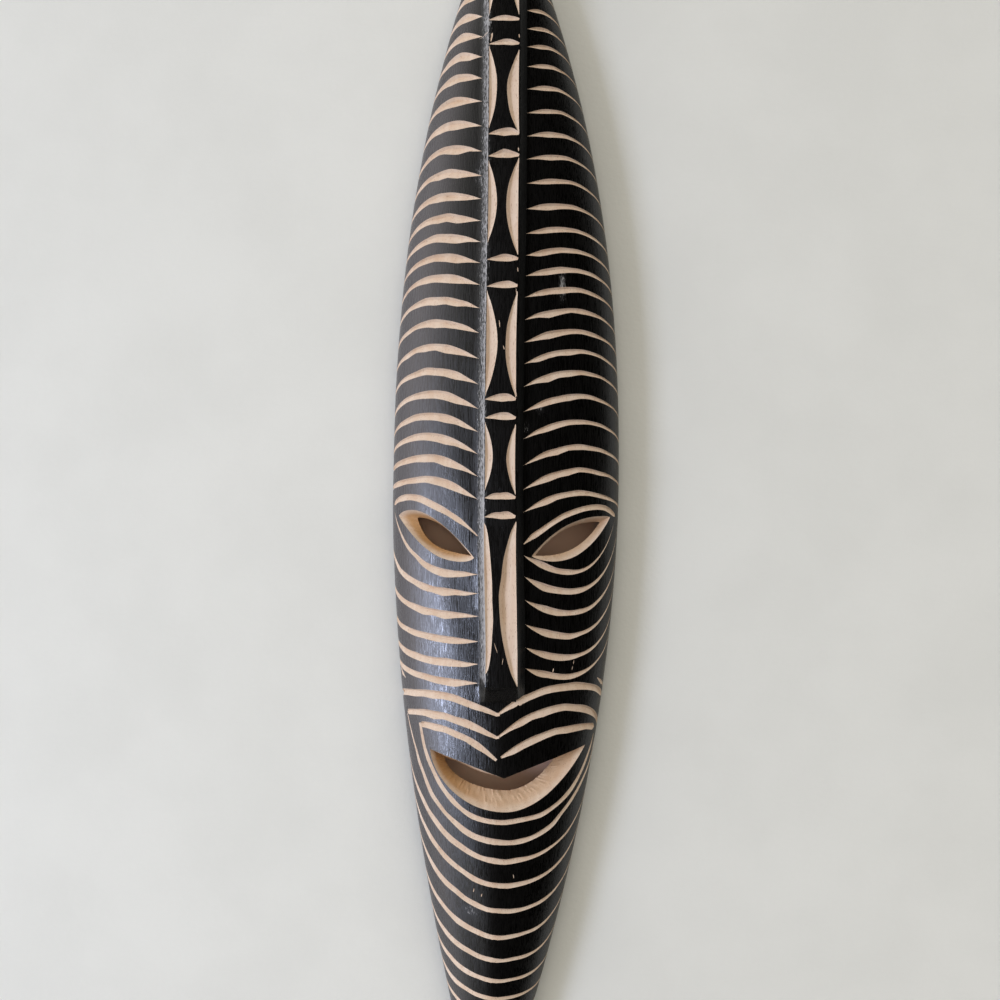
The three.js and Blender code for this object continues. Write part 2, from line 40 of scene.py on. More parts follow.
def linked(name, data):
    """A new object in the scene, which shows a mesh, a camera or a light."""
    made = bpy.data.objects.new(name, data)
    bpy.context.scene.collection.objects.link(made)
    return made


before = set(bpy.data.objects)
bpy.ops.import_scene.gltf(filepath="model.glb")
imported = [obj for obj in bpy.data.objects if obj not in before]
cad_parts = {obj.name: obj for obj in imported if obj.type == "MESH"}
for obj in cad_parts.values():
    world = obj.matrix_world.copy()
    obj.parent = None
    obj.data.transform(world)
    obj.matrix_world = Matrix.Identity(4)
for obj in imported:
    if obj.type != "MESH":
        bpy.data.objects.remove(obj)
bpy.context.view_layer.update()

# %% [markdown]
# ## The camera comes first
# The mask lies on its back, so the camera looks straight down on it, turned 3.5 degrees to the right as
# in the photograph. A matrix built from three directions gives the small roll without any angle
# juggling.

# %% Place the camera
CAMERA_TARGET = Vector((-3.5, 8.7, 20)) * MM
CAMERA_DISTANCE = 1.0
CAMERA_TURN = math.radians(3.5)
CAMERA_ROLL = math.radians(-0.85)
SENSOR = 36
FOCAL_SHARE = 1.253
NEAREST_SEEN = 0.01


def place_camera():
    back = Vector((math.sin(CAMERA_TURN), 0, math.cos(CAMERA_TURN)))
    level = Vector((math.cos(CAMERA_TURN), 0, -math.sin(CAMERA_TURN)))
    upward = Vector((0, 1, 0))
    right = level * math.cos(CAMERA_ROLL) - upward * math.sin(CAMERA_ROLL)
    up = level * math.sin(CAMERA_ROLL) + upward * math.cos(CAMERA_ROLL)
    camera = linked("camera", bpy.data.cameras.new("camera"))
    camera.data.sensor_width = SENSOR
    camera.data.lens = SENSOR * FOCAL_SHARE
    camera.data.clip_start = NEAREST_SEEN
    axes = Matrix((right, up, back)).transposed().to_4x4()
    camera.matrix_world = Matrix.Translation(CAMERA_TARGET + back * CAMERA_DISTANCE) @ axes
    bpy.context.scene.camera = camera
    return camera


print("camera at", tuple(place_camera().location))

# %% [markdown]
# ## The leaf and its section
# The outline is two power curves that meet just above the eyes, with small round ends. Across, the
# blank is a rounded gable over a short upright rim, and a flat crest runs from the crown to the tip of
# the nose. Written as functions of an angle and a height, the same skin later carries every stroke, so
# a cut always sits exactly on the wood. NumPy evaluates them for whole rows at once.

# %% Outline and section
HALF_LENGTH = 500
WIDTH = 182
WIDEST_AT = 16
CROWN_REACH, CHIN_REACH = 495, 530
CROWN_FULLNESS, CHIN_FULLNESS = 2.3, 1.8
TIP_RADIUS = 9
BOW = 7.5  # how far both tips stray to the left
RIM_HEIGHT = 8
KEEL_HEIGHT, TIP_HEIGHT, TIP_DROP = 58, 22, 6
KEEL_FULLNESS = 2.5
GABLE_SHARE, RIDGE_EASE = 0.22, 0.07  # how much of the arch is straight slopes, and how bluntly they meet
SHOULDER = 0.9
CREST_HALF, CREST_FLANK, CREST_SHARE = 12.7, 5, 0.32  # the share is of the half-width, towards the tips
CREST_EDGE = 0.7
FOREHEAD_RISE, NOSE_RISE = 5, 9
NOSE_ROOT, NOSE_TIP, NOSE_FOOT = 0, -134.5, -147.4
CREST_LEANS = [(-1.5, 90, 130), (3, -134, 75)]  # how far to the right, at which height, over what length
CREST_FADE = 25
QUARTER = math.pi / 2
LEAST_WIDTH = 1e-6  # stands for a width of nothing, at the tips, in a division
NO_LENGTH = 1e-12
TURN_STEP, HEIGHT_STEP = 0.02, 1  # the steps from which the slope of the skin is worked out


def smooth_step(value, low, high):
    share = np.clip((value - low) / (high - low), 0, 1)
    return share * share * (3 - 2 * share)


def mix(low, high, share):
    return low + (high - low) * share


def tip_round(y):
    inward = np.clip((HALF_LENGTH - np.abs(y)) / TIP_RADIUS, 0, 1)
    return np.sqrt(1 - (1 - inward) ** 2)


def half_width(y):
    y = np.asarray(y, float)
    reach = np.where(y > WIDEST_AT, CROWN_REACH, CHIN_REACH)
    fullness = np.where(y > WIDEST_AT, CROWN_FULLNESS, CHIN_FULLNESS)
    leaf = 1 - (np.abs(y - WIDEST_AT) / reach) ** fullness
    return WIDTH / 2 * leaf * tip_round(y)


def keel_height(y):
    arch = (KEEL_HEIGHT - TIP_HEIGHT) * (1 - (np.abs(y) / HALF_LENGTH) ** KEEL_FULLNESS)
    return TIP_HEIGHT + arch - TIP_DROP * (1 - tip_round(y))


def crest_half(y):
    return np.minimum(CREST_HALF, CREST_SHARE * half_width(y))


def crest_foot(y):
    return crest_half(y) * (1 + CREST_FLANK / CREST_HALF)


def crest_rise(y):
    down = np.clip((NOSE_ROOT - y) / (NOSE_ROOT - NOSE_TIP), 0, None)
    full = FOREHEAD_RISE + (NOSE_RISE - FOREHEAD_RISE) * down
    end = np.clip((y - NOSE_FOOT) / (NOSE_TIP - NOSE_FOOT), 0, 1)
    return full * end * crest_half(y) / CREST_HALF


def middle(y):
    return -BOW * (np.asarray(y, float) / HALF_LENGTH) ** 2


def crest_lean(y):
    """How far the crest strays from the middle line, because the carver laid it out by eye."""
    strays = sum(shift * np.exp(-(((y - at) / spread) ** 2)) for shift, at, spread in CREST_LEANS)
    return strays * crest_half(y) / CREST_HALF


def on_crest(off, y):
    """1 on the crest and 0 off it, with the edges of its flank eased as wear eases them."""
    half, foot = crest_half(y), crest_foot(y)
    flank = np.maximum(foot - half, LEAST_WIDTH)
    ease = CREST_EDGE * half / CREST_HALF
    away = np.abs(off - crest_lean(y))
    ramps = [np.clip((foot - away + shift * ease) / flank, 0, 1) for shift in (-1, 0, 0, 1)]
    return sum(ramps) / len(ramps)


def gable(across, y):
    """The straight slopes of the gable, levelled where the crest runs over its ridge."""
    levelled = (crest_half(y) + np.abs(crest_lean(y))) / np.maximum(half_width(y), LEAST_WIDTH)
    levelled = levelled * smooth_step(y, NOSE_FOOT - CREST_FADE, NOSE_FOOT)
    return 1 - np.maximum(np.hypot(across, RIDGE_EASE), levelled)


def skin(turn, y):
    """Points on the outer skin. The turn is 0 on the keel, a quarter at the rim, and minus on the left."""
    y = np.asarray(y, float)
    across = np.sin(turn)
    rounded = np.clip(np.cos(turn), 0, None) ** SHOULDER
    profile = (1 - GABLE_SHARE) * rounded + GABLE_SHARE * gable(across, y)
    off = half_width(y) * across
    z = RIM_HEIGHT + (keel_height(y) - RIM_HEIGHT) * profile + crest_rise(y) * on_crest(off, y)
    return np.stack(np.broadcast_arrays(off + middle(y), y, z), axis=-1)


def unit(vectors):
    return vectors / np.maximum(np.linalg.norm(vectors, axis=-1, keepdims=True), NO_LENGTH)


def skin_normal(turn, y):
    across = skin(np.add(turn, TURN_STEP), y) - skin(np.subtract(turn, TURN_STEP), y)
    along = skin(turn, np.add(y, HEIGHT_STEP)) - skin(turn, np.subtract(y, HEIGHT_STEP))
    return unit(np.cross(across, along))


def turn_at(x, y):
    """The angle at a place seen from the front. At a tip, anything off the middle line is at the rim."""
    return np.arcsin(np.clip((x - middle(y)) / np.maximum(half_width(y), NO_LENGTH), -1, 1))


def skin_height(x, y):
    return skin(turn_at(x, y), y)[..., 2]


print("half-widths at crown, eyes and chin:", half_width([400, 16, -400]).round(1))

# %% [markdown]
# ## The blank
# A carver roughs out the blank with an adze and sands it, so it is smooth but never quite even. A grid of
# quads suits it: its columns follow the crest's edges and then the angle, which puts them closer together
# near the steep rim. A few long, low waves in the skin keep the sheen from looking turned on a lathe.
# Both ends of each row turn down over the rim and under the flat back, and the mesh is welded into one
# closed skin.

# %% Helpers for meshes
PAINT, CUT_WOOD, RAW_WOOD = range(3)


def mesh_object(name, points, faces, material_index=PAINT):
    """A new object from points in millimetres."""
    mesh = bpy.data.meshes.new(name)
    mesh.from_pydata((np.asarray(points, float) * MM).tolist(), [], [list(face) for face in faces])
    mesh.polygons.foreach_set("material_index", [material_index] * len(mesh.polygons))
    return linked(name, mesh)


def ring_faces(rows, columns):
    """Quads between closed rows of points."""
    quads = []
    for r in range(rows - 1):
        for c in range(columns):
            here, beside = r * columns + c, r * columns + (c + 1) % columns
            quads.append((here, beside, beside + columns, here + columns))
    return quads


def count_open(shape):
    return sum(not edge.is_manifold for edge in shape.edges)


def close_up(made, weld=0.002):
    """Welds a mesh, turns its faces outwards and says whether it is closed."""
    shape = bmesh.new()
    shape.from_mesh(made.data)
    bmesh.ops.remove_doubles(shape, verts=shape.verts, dist=weld * MM)
    bmesh.ops.dissolve_degenerate(shape, edges=shape.edges, dist=weld * MM / 10)
    bmesh.ops.recalc_face_normals(shape, faces=shape.faces)
    if shape.calc_volume(signed=True) < 0:
        bmesh.ops.reverse_faces(shape, faces=shape.faces)
    print(made.name, "faces", len(shape.faces), "open edges", count_open(shape))
    shape.to_mesh(made.data)
    shape.free()
    return made


# %% Make the blank
ROWS = 300
TIP_ROWS = [0, 0.3, 1.1, 2.4, 4.2, 6.5]  # how far each is from the tip
CREST_COLUMNS = (0, 0.35, 0.7)
RIM_COLUMNS = 27
RIM_BAND = [(5.4, 0), (2.8, 0), (0.8, 0), (0, 0.8)]  # a height, and how far inside the rim
LEAST_INSET_WIDTH = 1.5
WAVES, WAVE_HEIGHT = 14, 0.16
WAVE_LENGTHS = [(90, 32), (300, 90)]  # the longest and the shortest, across the grain and along it
CALM_TIP, CALM_FADE = 20, 60
LAST_SLOPE = 488  # beyond this height the tip is too round for a slope of its own
BACK_FACE = 0.01


def blank_rows():
    """Heights of the rows: even, but two moved to the nose's edges, and closer together at each tip."""
    reach = HALF_LENGTH - TIP_RADIUS
    rows = np.linspace(-reach, reach, ROWS)
    for mark in (NOSE_TIP, NOSE_FOOT):
        rows[np.argmin(np.abs(rows - mark))] = mark
    tips = HALF_LENGTH - np.array(TIP_ROWS)
    return np.concatenate([-tips, rows, tips[::-1]])


def column_turns(y):
    """Angles of each row's points: over the crest, down its flanks and then evenly out to the rim."""
    width = np.maximum(half_width(y), LEAST_WIDTH)
    half, foot = crest_half(y), crest_foot(y)
    ease = CREST_EDGE * half / CREST_HALF
    offs = [share * half for share in CREST_COLUMNS]
    offs += [half - ease, half, half + ease, (half + foot) / 2, foot - ease, foot, foot + ease]
    sides = []
    for sign in (-1, 1):
        from_middle = np.stack(offs, -1) + sign * crest_lean(y)[:, None]
        inner = np.arcsin(np.clip(from_middle / width[:, None], -1, 1))
        start = inner[:, -1:]
        outer = start + (QUARTER - start) * np.linspace(0, 1, RIM_COLUMNS + 1)[1:]
        sides.append(np.concatenate([inner, outer], axis=1))
    return np.concatenate([-sides[0][:, :0:-1], sides[1]], axis=1)


def gentle_waves(x, y, seed=4):
    """Low waves of random length and direction, mostly along the grain."""
    draw = np.random.default_rng(seed)
    total = 0
    for _ in range(WAVES):
        across, along = [draw.uniform(1 / longest, 1 / shortest) for longest, shortest in WAVE_LENGTHS]
        total = total + np.sin(math.tau * (across * x + along * y) + draw.uniform(0, math.tau))
    return WAVE_HEIGHT * total / math.sqrt(WAVES / 2)


def sanded(turn, y):
    """The skin with its waves, which die away towards the rim and the tips."""
    points = skin(turn, y)
    inside = np.clip((HALF_LENGTH - CALM_TIP - np.abs(y)) / CALM_FADE, 0, 1)
    calm = np.clip(np.cos(turn), 0, 1) ** 0.5 * inside
    lift = gentle_waves(points[..., 0], points[..., 1]) * calm
    return points + skin_normal(turn, np.clip(y, -LAST_SLOPE, LAST_SLOPE)) * lift[..., None]


def rim_band(edge, y, inward):
    """Columns that take an edge of the skin down to the back and a little inwards."""
    columns = []
    for z, inset in RIM_BAND:
        column = edge.copy()
        column[:, 0] += inward * inset * (half_width(y) > LEAST_INSET_WIDTH)
        column[:, 2] = z
        columns.append(column)
    return columns


def make_blank():
    y = blank_rows()
    turns = column_turns(y)
    points = sanded(turns, np.broadcast_to(y[:, None], turns.shape))
    left = np.stack(rim_band(points[:, 0], y, 1)[::-1], axis=1)
    right = np.stack(rim_band(points[:, -1], y, -1), axis=1)
    around = np.concatenate([left, points, right], axis=1)
    rows, columns = around.shape[:2]
    blank = close_up(mesh_object("blank", around.reshape(-1, 3), ring_faces(rows, columns)))
    for face in blank.data.polygons:
        if face.center.z < BACK_FACE * MM:
            face.material_index = RAW_WOOD
    return blank


blank = make_blank()

# %% [markdown]
# ## Cutting away
# Everything else is taken off this blank. A Boolean modifier does what the gouge does, and its cut
# faces keep the cutter's material number, so the line between paint and bare wood is as sharp as on the
# real mask. The cutters are lofts: rings of points with the same count, joined ring to ring and closed
# at both ends. A gouge leaves shallow overlapping scoops, so wide cutter faces are pushed out by a
# small random pattern.

# %% Lofted cutters with tool marks
SCOOP_STRAY = 0.35
SCOOP_REACH = 0.5


def loft(name, rings, material_index):
    rings = np.asarray(rings, float)
    count, around = rings.shape[:2]
    faces = ring_faces(count, around)
    last = (count - 1) * around
    faces += [tuple(range(around)), tuple(range(last, last + around))]
    return close_up(mesh_object(name, rings.reshape(-1, 3), faces, material_index))


def scoops(u, v, width, length, depth, seed):
    """How deep a gouge went at each place: most at the middle of a scoop, and nothing where two meet."""
    draw = np.random.default_rng(seed)
    low_u, low_v = u.min() - width, v.min() - length
    count_u = int((u.max() - low_u) / width) + 2
    count_v = int((v.max() - low_v) / length) + 2
    row, column = np.meshgrid(np.arange(count_v), np.arange(count_u), indexing="ij")
    stray = draw.uniform(-SCOOP_STRAY, SCOOP_STRAY, (2, *row.shape))
    centre_u = low_u + (column + (row % 2) / 2 + stray[0]) * width
    centre_v = low_v + (row + stray[1]) * length
    nearest = np.full(u.shape, np.inf)
    for middle_u, middle_v in zip(centre_u.ravel(), centre_v.ravel()):
        nearest = np.minimum(nearest, ((u - middle_u) / width) ** 2 + ((v - middle_v) / length) ** 2)
    return depth * (1 - np.clip(nearest / SCOOP_REACH, 0, 1))


# %% Hollow the back
HOLLOW = {"wall": 12, "roof": 17, "reach": 412, "fullness": 5, "least": 1e-4, "below": 2}
HOLLOW_STATIONS, HOLLOW_SIDES = 130, 30
HOLLOW_SCOOP = {"width": 13, "length": 34, "depth": 0.9, "seed": 11}


def hollow_cutter():
    """Half-round rings along the back, which close in towards both ends and reach a little below it."""
    along = -np.cos(math.pi * np.arange(HOLLOW_STATIONS + 1) / HOLLOW_STATIONS)[:, None]
    angle = math.pi * np.arange(HOLLOW_SIDES + 1)[None, :] / HOLLOW_SIDES
    y = HOLLOW["reach"] * along + 0 * angle
    ending = np.sqrt(np.clip(1 - np.abs(along) ** HOLLOW["fullness"], HOLLOW["least"], None))
    half = (half_width(y) - HOLLOW["wall"]) * ending
    height = (keel_height(y) - HOLLOW["roof"]) * ending
    deeper = scoops(angle * half, y, **HOLLOW_SCOOP) * np.sin(angle) ** 0.5 * ending
    x = (half + deeper) * np.cos(angle) + middle(y)
    z = (height + deeper) * np.sin(angle) ** SHOULDER
    z[:, [0, -1]] = 0
    rings = np.stack([x, y, z], axis=-1)
    feet = rings[:, [-1, 0]].copy()
    feet[..., 2] = -HOLLOW["below"]
    return loft("hollow", np.concatenate([rings, feet], axis=1), RAW_WOOD)


cutters = [hollow_cutter()]

# %% [markdown]
# ## Eyes and mouth
# The eyes are almonds and the mouth a smile with a pointed upper lip. Each is pierced straight through,
# and then bevelled from the hole's edge up to a wider outline, most of all along the lower lid and the
# lower lip. A loft from the hole's outline to the bevel's outline gives both, and scoops along the
# bevel make it chiselled.

# %% Outlines of the eyes and the mouth
EYES = {
    "left": {
        "outline": {
            "inner": (-20.8, -36.3), "outer": (-83.7, -5),
            "upper": {"arch": 12.5, "skew": 0.62}, "lower": {"arch": -12.6, "skew": 0.75},
        },
        "hole": {
            "inner": (-23.5, -34.9), "outer": (-68, -6.6),
            "upper": {"arch": 6.2, "skew": 0.8}, "lower": {"arch": -9.4, "skew": 1.25},
        },
    },
    "right": {
        "outline": {
            "inner": (23.7, -34.2), "outer": (84, -3.4),
            "upper": {"arch": 9.4, "skew": 0.9}, "lower": {"arch": -15.2, "skew": 0.85},
        },
        "hole": {
            "inner": (26.5, -33.7), "outer": (75.5, -7.8),
            "upper": {"arch": 7.4, "skew": 0.95}, "lower": {"arch": -8.6, "skew": 1},
        },
    },
}
LID_POWER = 0.85
MOUTH = {
    "outline": {"left": (-54.5, -187.8), "right": (67, -183.5), "point": -206.3, "bottom": -232.8},
    "hole": {"left": (-43.5, -196), "right": (43.5, -192.3), "point": -208, "bottom": -218.3},
}
MOUTH_MIDDLE = 5.1
UPPER_LIP_POWER, LOWER_LIP_POWERS = 0.9, {"left": 0.58, "right": 0.92}
EDGE_POINTS = 110
THERE = (1 - np.cos(math.pi * np.arange(EDGE_POINTS) / EDGE_POINTS)) / 2  # from corner to corner, 0 to 1
AND_BACK = 1 - THERE


def lid(arch, skew):
    """How far a lid stands from the line between the corners, with its highest place moved by the skew."""
    return arch * np.sin(math.pi * AND_BACK**skew) ** LID_POWER


def almond(inner, outer, upper, lower):
    """The edge of an eye as seen from the front: out along the upper lid and back along the lower one."""
    inner, outer = np.array(inner, float), np.array(outer, float)
    along = outer - inner
    across = np.array([-along[1], along[0]]) / np.linalg.norm(along)
    across = across * np.sign(across[1])
    out = inner + THERE[:, None] * along + lid(**upper)[:, None] * across
    home = inner + AND_BACK[:, None] * along + lid(**lower)[:, None] * across
    return np.concatenate([out, home])


def smile(left, right, point, bottom):
    """The edge of the mouth: along the pointed upper lip, and back along the lower one."""
    x = left[0] + (right[0] - left[0]) * np.concatenate([THERE, AND_BACK])
    corner_x = np.where(x < MOUTH_MIDDLE, left[0], right[0])
    corner_y = np.where(x < MOUTH_MIDDLE, left[1], right[1])
    out = np.clip(np.abs((x - MOUTH_MIDDLE) / (corner_x - MOUTH_MIDDLE)), 0, 1)
    upper = point + (corner_y - point) * out**UPPER_LIP_POWER
    power = np.where(x < MOUTH_MIDDLE, LOWER_LIP_POWERS["left"], LOWER_LIP_POWERS["right"])
    lower = corner_y + (bottom - corner_y) * (1 - out**2) ** power
    y = np.where(np.arange(2 * EDGE_POINTS) < EDGE_POINTS, upper, lower)
    return np.stack([x, y], axis=1)


# %% Pierce and bevel the openings
BEVEL_RINGS = 9
ABOVE_FACE = 110
FULL_SLANT, LEAST_BEVEL = 9, 0.15  # a bevel this wide goes to its full depth, the narrowest to a share
SCOOP_TILT = 0.7
EYE_BEVEL = {"deep": 9, "width": 2.4, "length": 12, "depth": 0.6}
MOUTH_BEVEL = {"deep": 14, "width": 3.2, "length": 8, "depth": 0.95}
EYE_SEEDS, MOUTH_SEED = (21, 22), 23


def opening_cutter(name, outline, hole, deep, **scoop):
    """Straight below the bevel, wider up to its outline, and straight above the skin."""
    wide = np.clip(np.linalg.norm(outline - hole, axis=1) / FULL_SLANT, LEAST_BEVEL, 1)
    inner = np.column_stack([hole, skin_height(*hole.T) - deep * wide])
    outer = np.column_stack([outline, skin_height(*outline.T)])
    walk = np.cumsum(np.linalg.norm(np.diff(outline, axis=0, prepend=outline[:1]), axis=1))
    share = np.linspace(0, 1, BEVEL_RINGS)[:, None]
    bevel = inner + (outer - inner) * share[..., None]
    slant = np.linalg.norm(outer - inner, axis=1)
    marks = scoops(walk + 0 * share, slant * share, **scoop)
    outward = unit(np.column_stack([outline - hole, np.zeros(len(hole))]))
    into_wood = outward * SCOOP_TILT - np.array([0, 0, SCOOP_TILT])
    room = np.cos(QUARTER * share) ** 0.5 * np.clip(slant / FULL_SLANT, 0, 1)
    bevel = bevel + into_wood * (marks * room)[..., None]
    below, above = bevel[0].copy(), outer.copy()
    below[:, 2] = -HOLLOW["below"]
    above[:, 2] = ABOVE_FACE
    step_down = (bevel[0] + below) / 2
    return loft(name, [below, step_down, *bevel, above], CUT_WOOD)


for (side, eye), seed in zip(EYES.items(), EYE_SEEDS):
    outline, hole = almond(**eye["outline"]), almond(**eye["hole"])
    cutters.append(opening_cutter(f"{side}_eye", outline, hole, **EYE_BEVEL, seed=seed))
outline, hole = smile(**MOUTH["outline"]), smile(**MOUTH["hole"])
cutters.append(opening_cutter("mouth", outline, hole, **MOUTH_BEVEL, seed=MOUTH_SEED))

# %% [markdown]
# ## A tree for one gouge stroke
# Nearly 140 strokes repeat one motion: the gouge enters in a point, swells, and leaves in a point. That
# is work for Geometry Nodes. Python lays down the paths as plain edges on the skin. Each point has the
# stroke's number and half-width, the direction across it and the direction out of the wood. The tree
# sweeps a V along each path, with its keel off to one side as a tilted gouge leaves it. Hand work is
# uneven in steps, not in ripples, because the carver pushes the gouge a centimetre at a time. So a
# small node group draws one random number for each centimetre and joins them with straight lines.

# %% Helpers for node trees
def put(tree, kind, inputs=None, **settings):
    """A new node, with its settings, and its inputs set to values or joined to sockets."""
    node = tree.nodes.new(kind)
    for name, value in settings.items():
        setattr(node, name, value)
    for name, value in (inputs or {}).items():
        if isinstance(value, bpy.types.NodeSocket):
            tree.links.new(value, node.inputs[name])
        else:
            node.inputs[name].default_value = value
    return node


def calc(tree, operation, *values):
    return put(tree, "ShaderNodeMath", dict(enumerate(values)), operation=operation).outputs[0]


def moved(tree, place, direction, distance):
    """A place, moved by a distance in a direction."""
    inputs = {0: direction, "Scale": distance}
    step = put(tree, "ShaderNodeVectorMath", inputs, operation="SCALE").outputs[0]
    return put(tree, "ShaderNodeVectorMath", {0: place, 1: step}, operation="ADD").outputs[0]


def read(tree, name, kind="FLOAT"):
    """What is stored on each point under a name."""
    return put(tree, "GeometryNodeInputNamedAttribute", {"Name": name}, data_type=kind).outputs[0]


def keep(tree, geometry, name, value, kind="FLOAT"):
    """The geometry, with a value stored on its points under a name."""
    inputs = {"Geometry": geometry, "Name": name, "Value": value}
    return put(tree, "GeometryNodeStoreNamedAttribute", inputs, data_type=kind).outputs[0]


def group(name, kind, sockets):
    """An empty node group with named sockets: (name, type, in or out, default)."""
    tree = bpy.data.node_groups.new(name, kind)
    for label, socket_type, way, default in sockets:
        direction = "INPUT" if way == "in" else "OUTPUT"
        socket = tree.interface.new_socket(label, in_out=direction, socket_type=socket_type)
        if default is not None:
            socket.default_value = default
    return tree, tree.nodes.new("NodeGroupInput").outputs, tree.nodes.new("NodeGroupOutput").inputs


# %% Uneven pushes of the gouge
STROKE_STRIDE = 211.0  # each stroke's random numbers start this far after those of the last


def hand_pushes():
    """A random number from -1 to 1 for each push of each stroke, with straight lines between."""
    tree, given, result = group("Hand Pushes", "GeometryNodeTree", [
        ("Length", "NodeSocketFloat", "in", 0),
        ("Push", "NodeSocketFloat", "in", 0.009),
        ("Stroke", "NodeSocketFloat", "in", 0),
        ("Seed", "NodeSocketInt", "in", 0),
        ("Value", "NodeSocketFloat", "out", None),
    ])
    pushes = calc(tree, "DIVIDE", given["Length"], given["Push"])
    whole = calc(tree, "FLOOR", pushes)
    part = calc(tree, "SUBTRACT", pushes, whole)
    ends = []
    for later in (0.0, 1.0):
        push = calc(tree, "ADD", calc(tree, "MULTIPLY_ADD", given["Stroke"], STROKE_STRIDE, whole), later)
        draw = put(tree, "FunctionNodeRandomValue", {2: -1.0, 3: 1.0, "ID": push, "Seed": given["Seed"]})
        ends.append(draw.outputs[1])
    between = put(tree, "ShaderNodeMix", {0: part, 2: ends[0], 3: ends[1]})
    tree.links.new(between.outputs[0], result["Value"])
    return tree


pushes = hand_pushes()
print("the pushes of the gouge take", len(pushes.nodes), "nodes")

# %% Sweep the profile
PROFILE_LEVELS = [1, 0.5, 0.06, 0.06, 0.5, 1]  # up the two flanks: 0 is the keel and 1 is the skin


def swept_profile(tree, paths, above_skin):
    """The paths, swept with a closed profile. Each point knows its place on the path and in the profile."""
    rail = put(tree, "GeometryNodeMeshToCurve", {"Mesh": paths}).outputs[0]
    rail = keep(tree, rail, "rail", put(tree, "GeometryNodeInputPosition").outputs[0], "FLOAT_VECTOR")
    rail = keep(tree, rail, "length", put(tree, "GeometryNodeSplineParameter").outputs["Length"])
    corners = len(PROFILE_LEVELS)
    profile = put(tree, "GeometryNodeCurvePrimitiveCircle", {"Resolution": corners}).outputs[0]
    corner = put(tree, "GeometryNodeInputIndex").outputs[0]
    levels = put(tree, "GeometryNodeIndexSwitch", {"Index": corner}, data_type="FLOAT")
    while len(levels.index_switch_items) < corners:
        levels.index_switch_items.new()
    over = calc(tree, "MULTIPLY_ADD", above_skin, 1.0, 1.0)
    for i, level in enumerate(PROFILE_LEVELS):
        if level == 1:
            tree.links.new(over, levels.inputs[str(i)])
        else:
            levels.inputs[str(i)].default_value = level
    right_side = calc(tree, "GREATER_THAN", corner, corners / 2 - 0.5)
    profile = keep(tree, profile, "side", calc(tree, "MULTIPLY_ADD", right_side, 2.0, -1.0))
    profile = keep(tree, profile, "level", levels.outputs[0])
    sweeping = {"Curve": rail, "Profile Curve": profile, "Fill Caps": True}
    return put(tree, "GeometryNodeCurveToMesh", sweeping).outputs[0]


# %% Widths and depths of a stroke
HOLLOWED = 0.05  # how far the middle of a flank sinks, as a share of the depth
UNEVEN_DEPTH = 0.22
FULL_SWAY_HALF = 0.002  # metres: a stroke this wide sways in full, and a thinner one less
SIDE_SHIFT = 0.25  # added to a stroke's number, so that its two edges draw other random numbers
SWAY_SEED, DEPTH_SEED = 5, 9  # added to the seed, for the same reason


def uneven(tree, given, stroke, amount, seed_step):
    """A random share of the amount, for each push of the gouge along a stroke."""
    seed = calc(tree, "ADD", given["Seed"], float(seed_step))
    drawn = {"Length": read(tree, "length"), "Push": given["Push"], "Stroke": stroke, "Seed": seed}
    node = put(tree, "GeometryNodeGroup", drawn, node_tree=pushes)
    return calc(tree, "MULTIPLY", node.outputs[0], amount)


def across_path(tree, given, stroke, half, side, level):
    """How far each point lies to the side of its path, with uneven edges and a little sway."""
    edge_name = calc(tree, "MULTIPLY_ADD", side, SIDE_SHIFT, stroke)
    bias = calc(tree, "SUBTRACT", 1.0, calc(tree, "MULTIPLY", side, given["Edge Bias"]))
    rough = uneven(tree, given, edge_name, calc(tree, "MULTIPLY", given["Unevenness"], bias), 0)
    width = calc(tree, "MULTIPLY", half, calc(tree, "ADD", rough, 1.0))
    to_edge = calc(tree, "SUBTRACT", side, given["Keel Shift"])
    across = calc(tree, "MULTIPLY_ADD", to_edge, level, given["Keel Shift"])
    full = calc(tree, "MINIMUM", calc(tree, "DIVIDE", half, FULL_SWAY_HALF), 1.0)
    sway = calc(tree, "MULTIPLY", uneven(tree, given, stroke, given["Sway"], SWAY_SEED), full)
    return calc(tree, "ADD", calc(tree, "MULTIPLY", across, width), sway)


def out_of_wood(tree, given, stroke, half, level):
    """How far each point stands out of the skin, or minus where it is below, with hollow flanks."""
    bulge = calc(tree, "MULTIPLY", calc(tree, "SUBTRACT", 1.0, level), level)
    hollowed = calc(tree, "MULTIPLY", bulge, HOLLOWED * 4)
    drop = calc(tree, "SUBTRACT", calc(tree, "SUBTRACT", level, 1.0), hollowed)
    bite = calc(tree, "ADD", uneven(tree, given, stroke, UNEVEN_DEPTH, DEPTH_SEED), 1.0)
    deep = calc(tree, "MULTIPLY", calc(tree, "MULTIPLY", given["Depth Share"], bite), half)
    return calc(tree, "MULTIPLY", drop, deep)


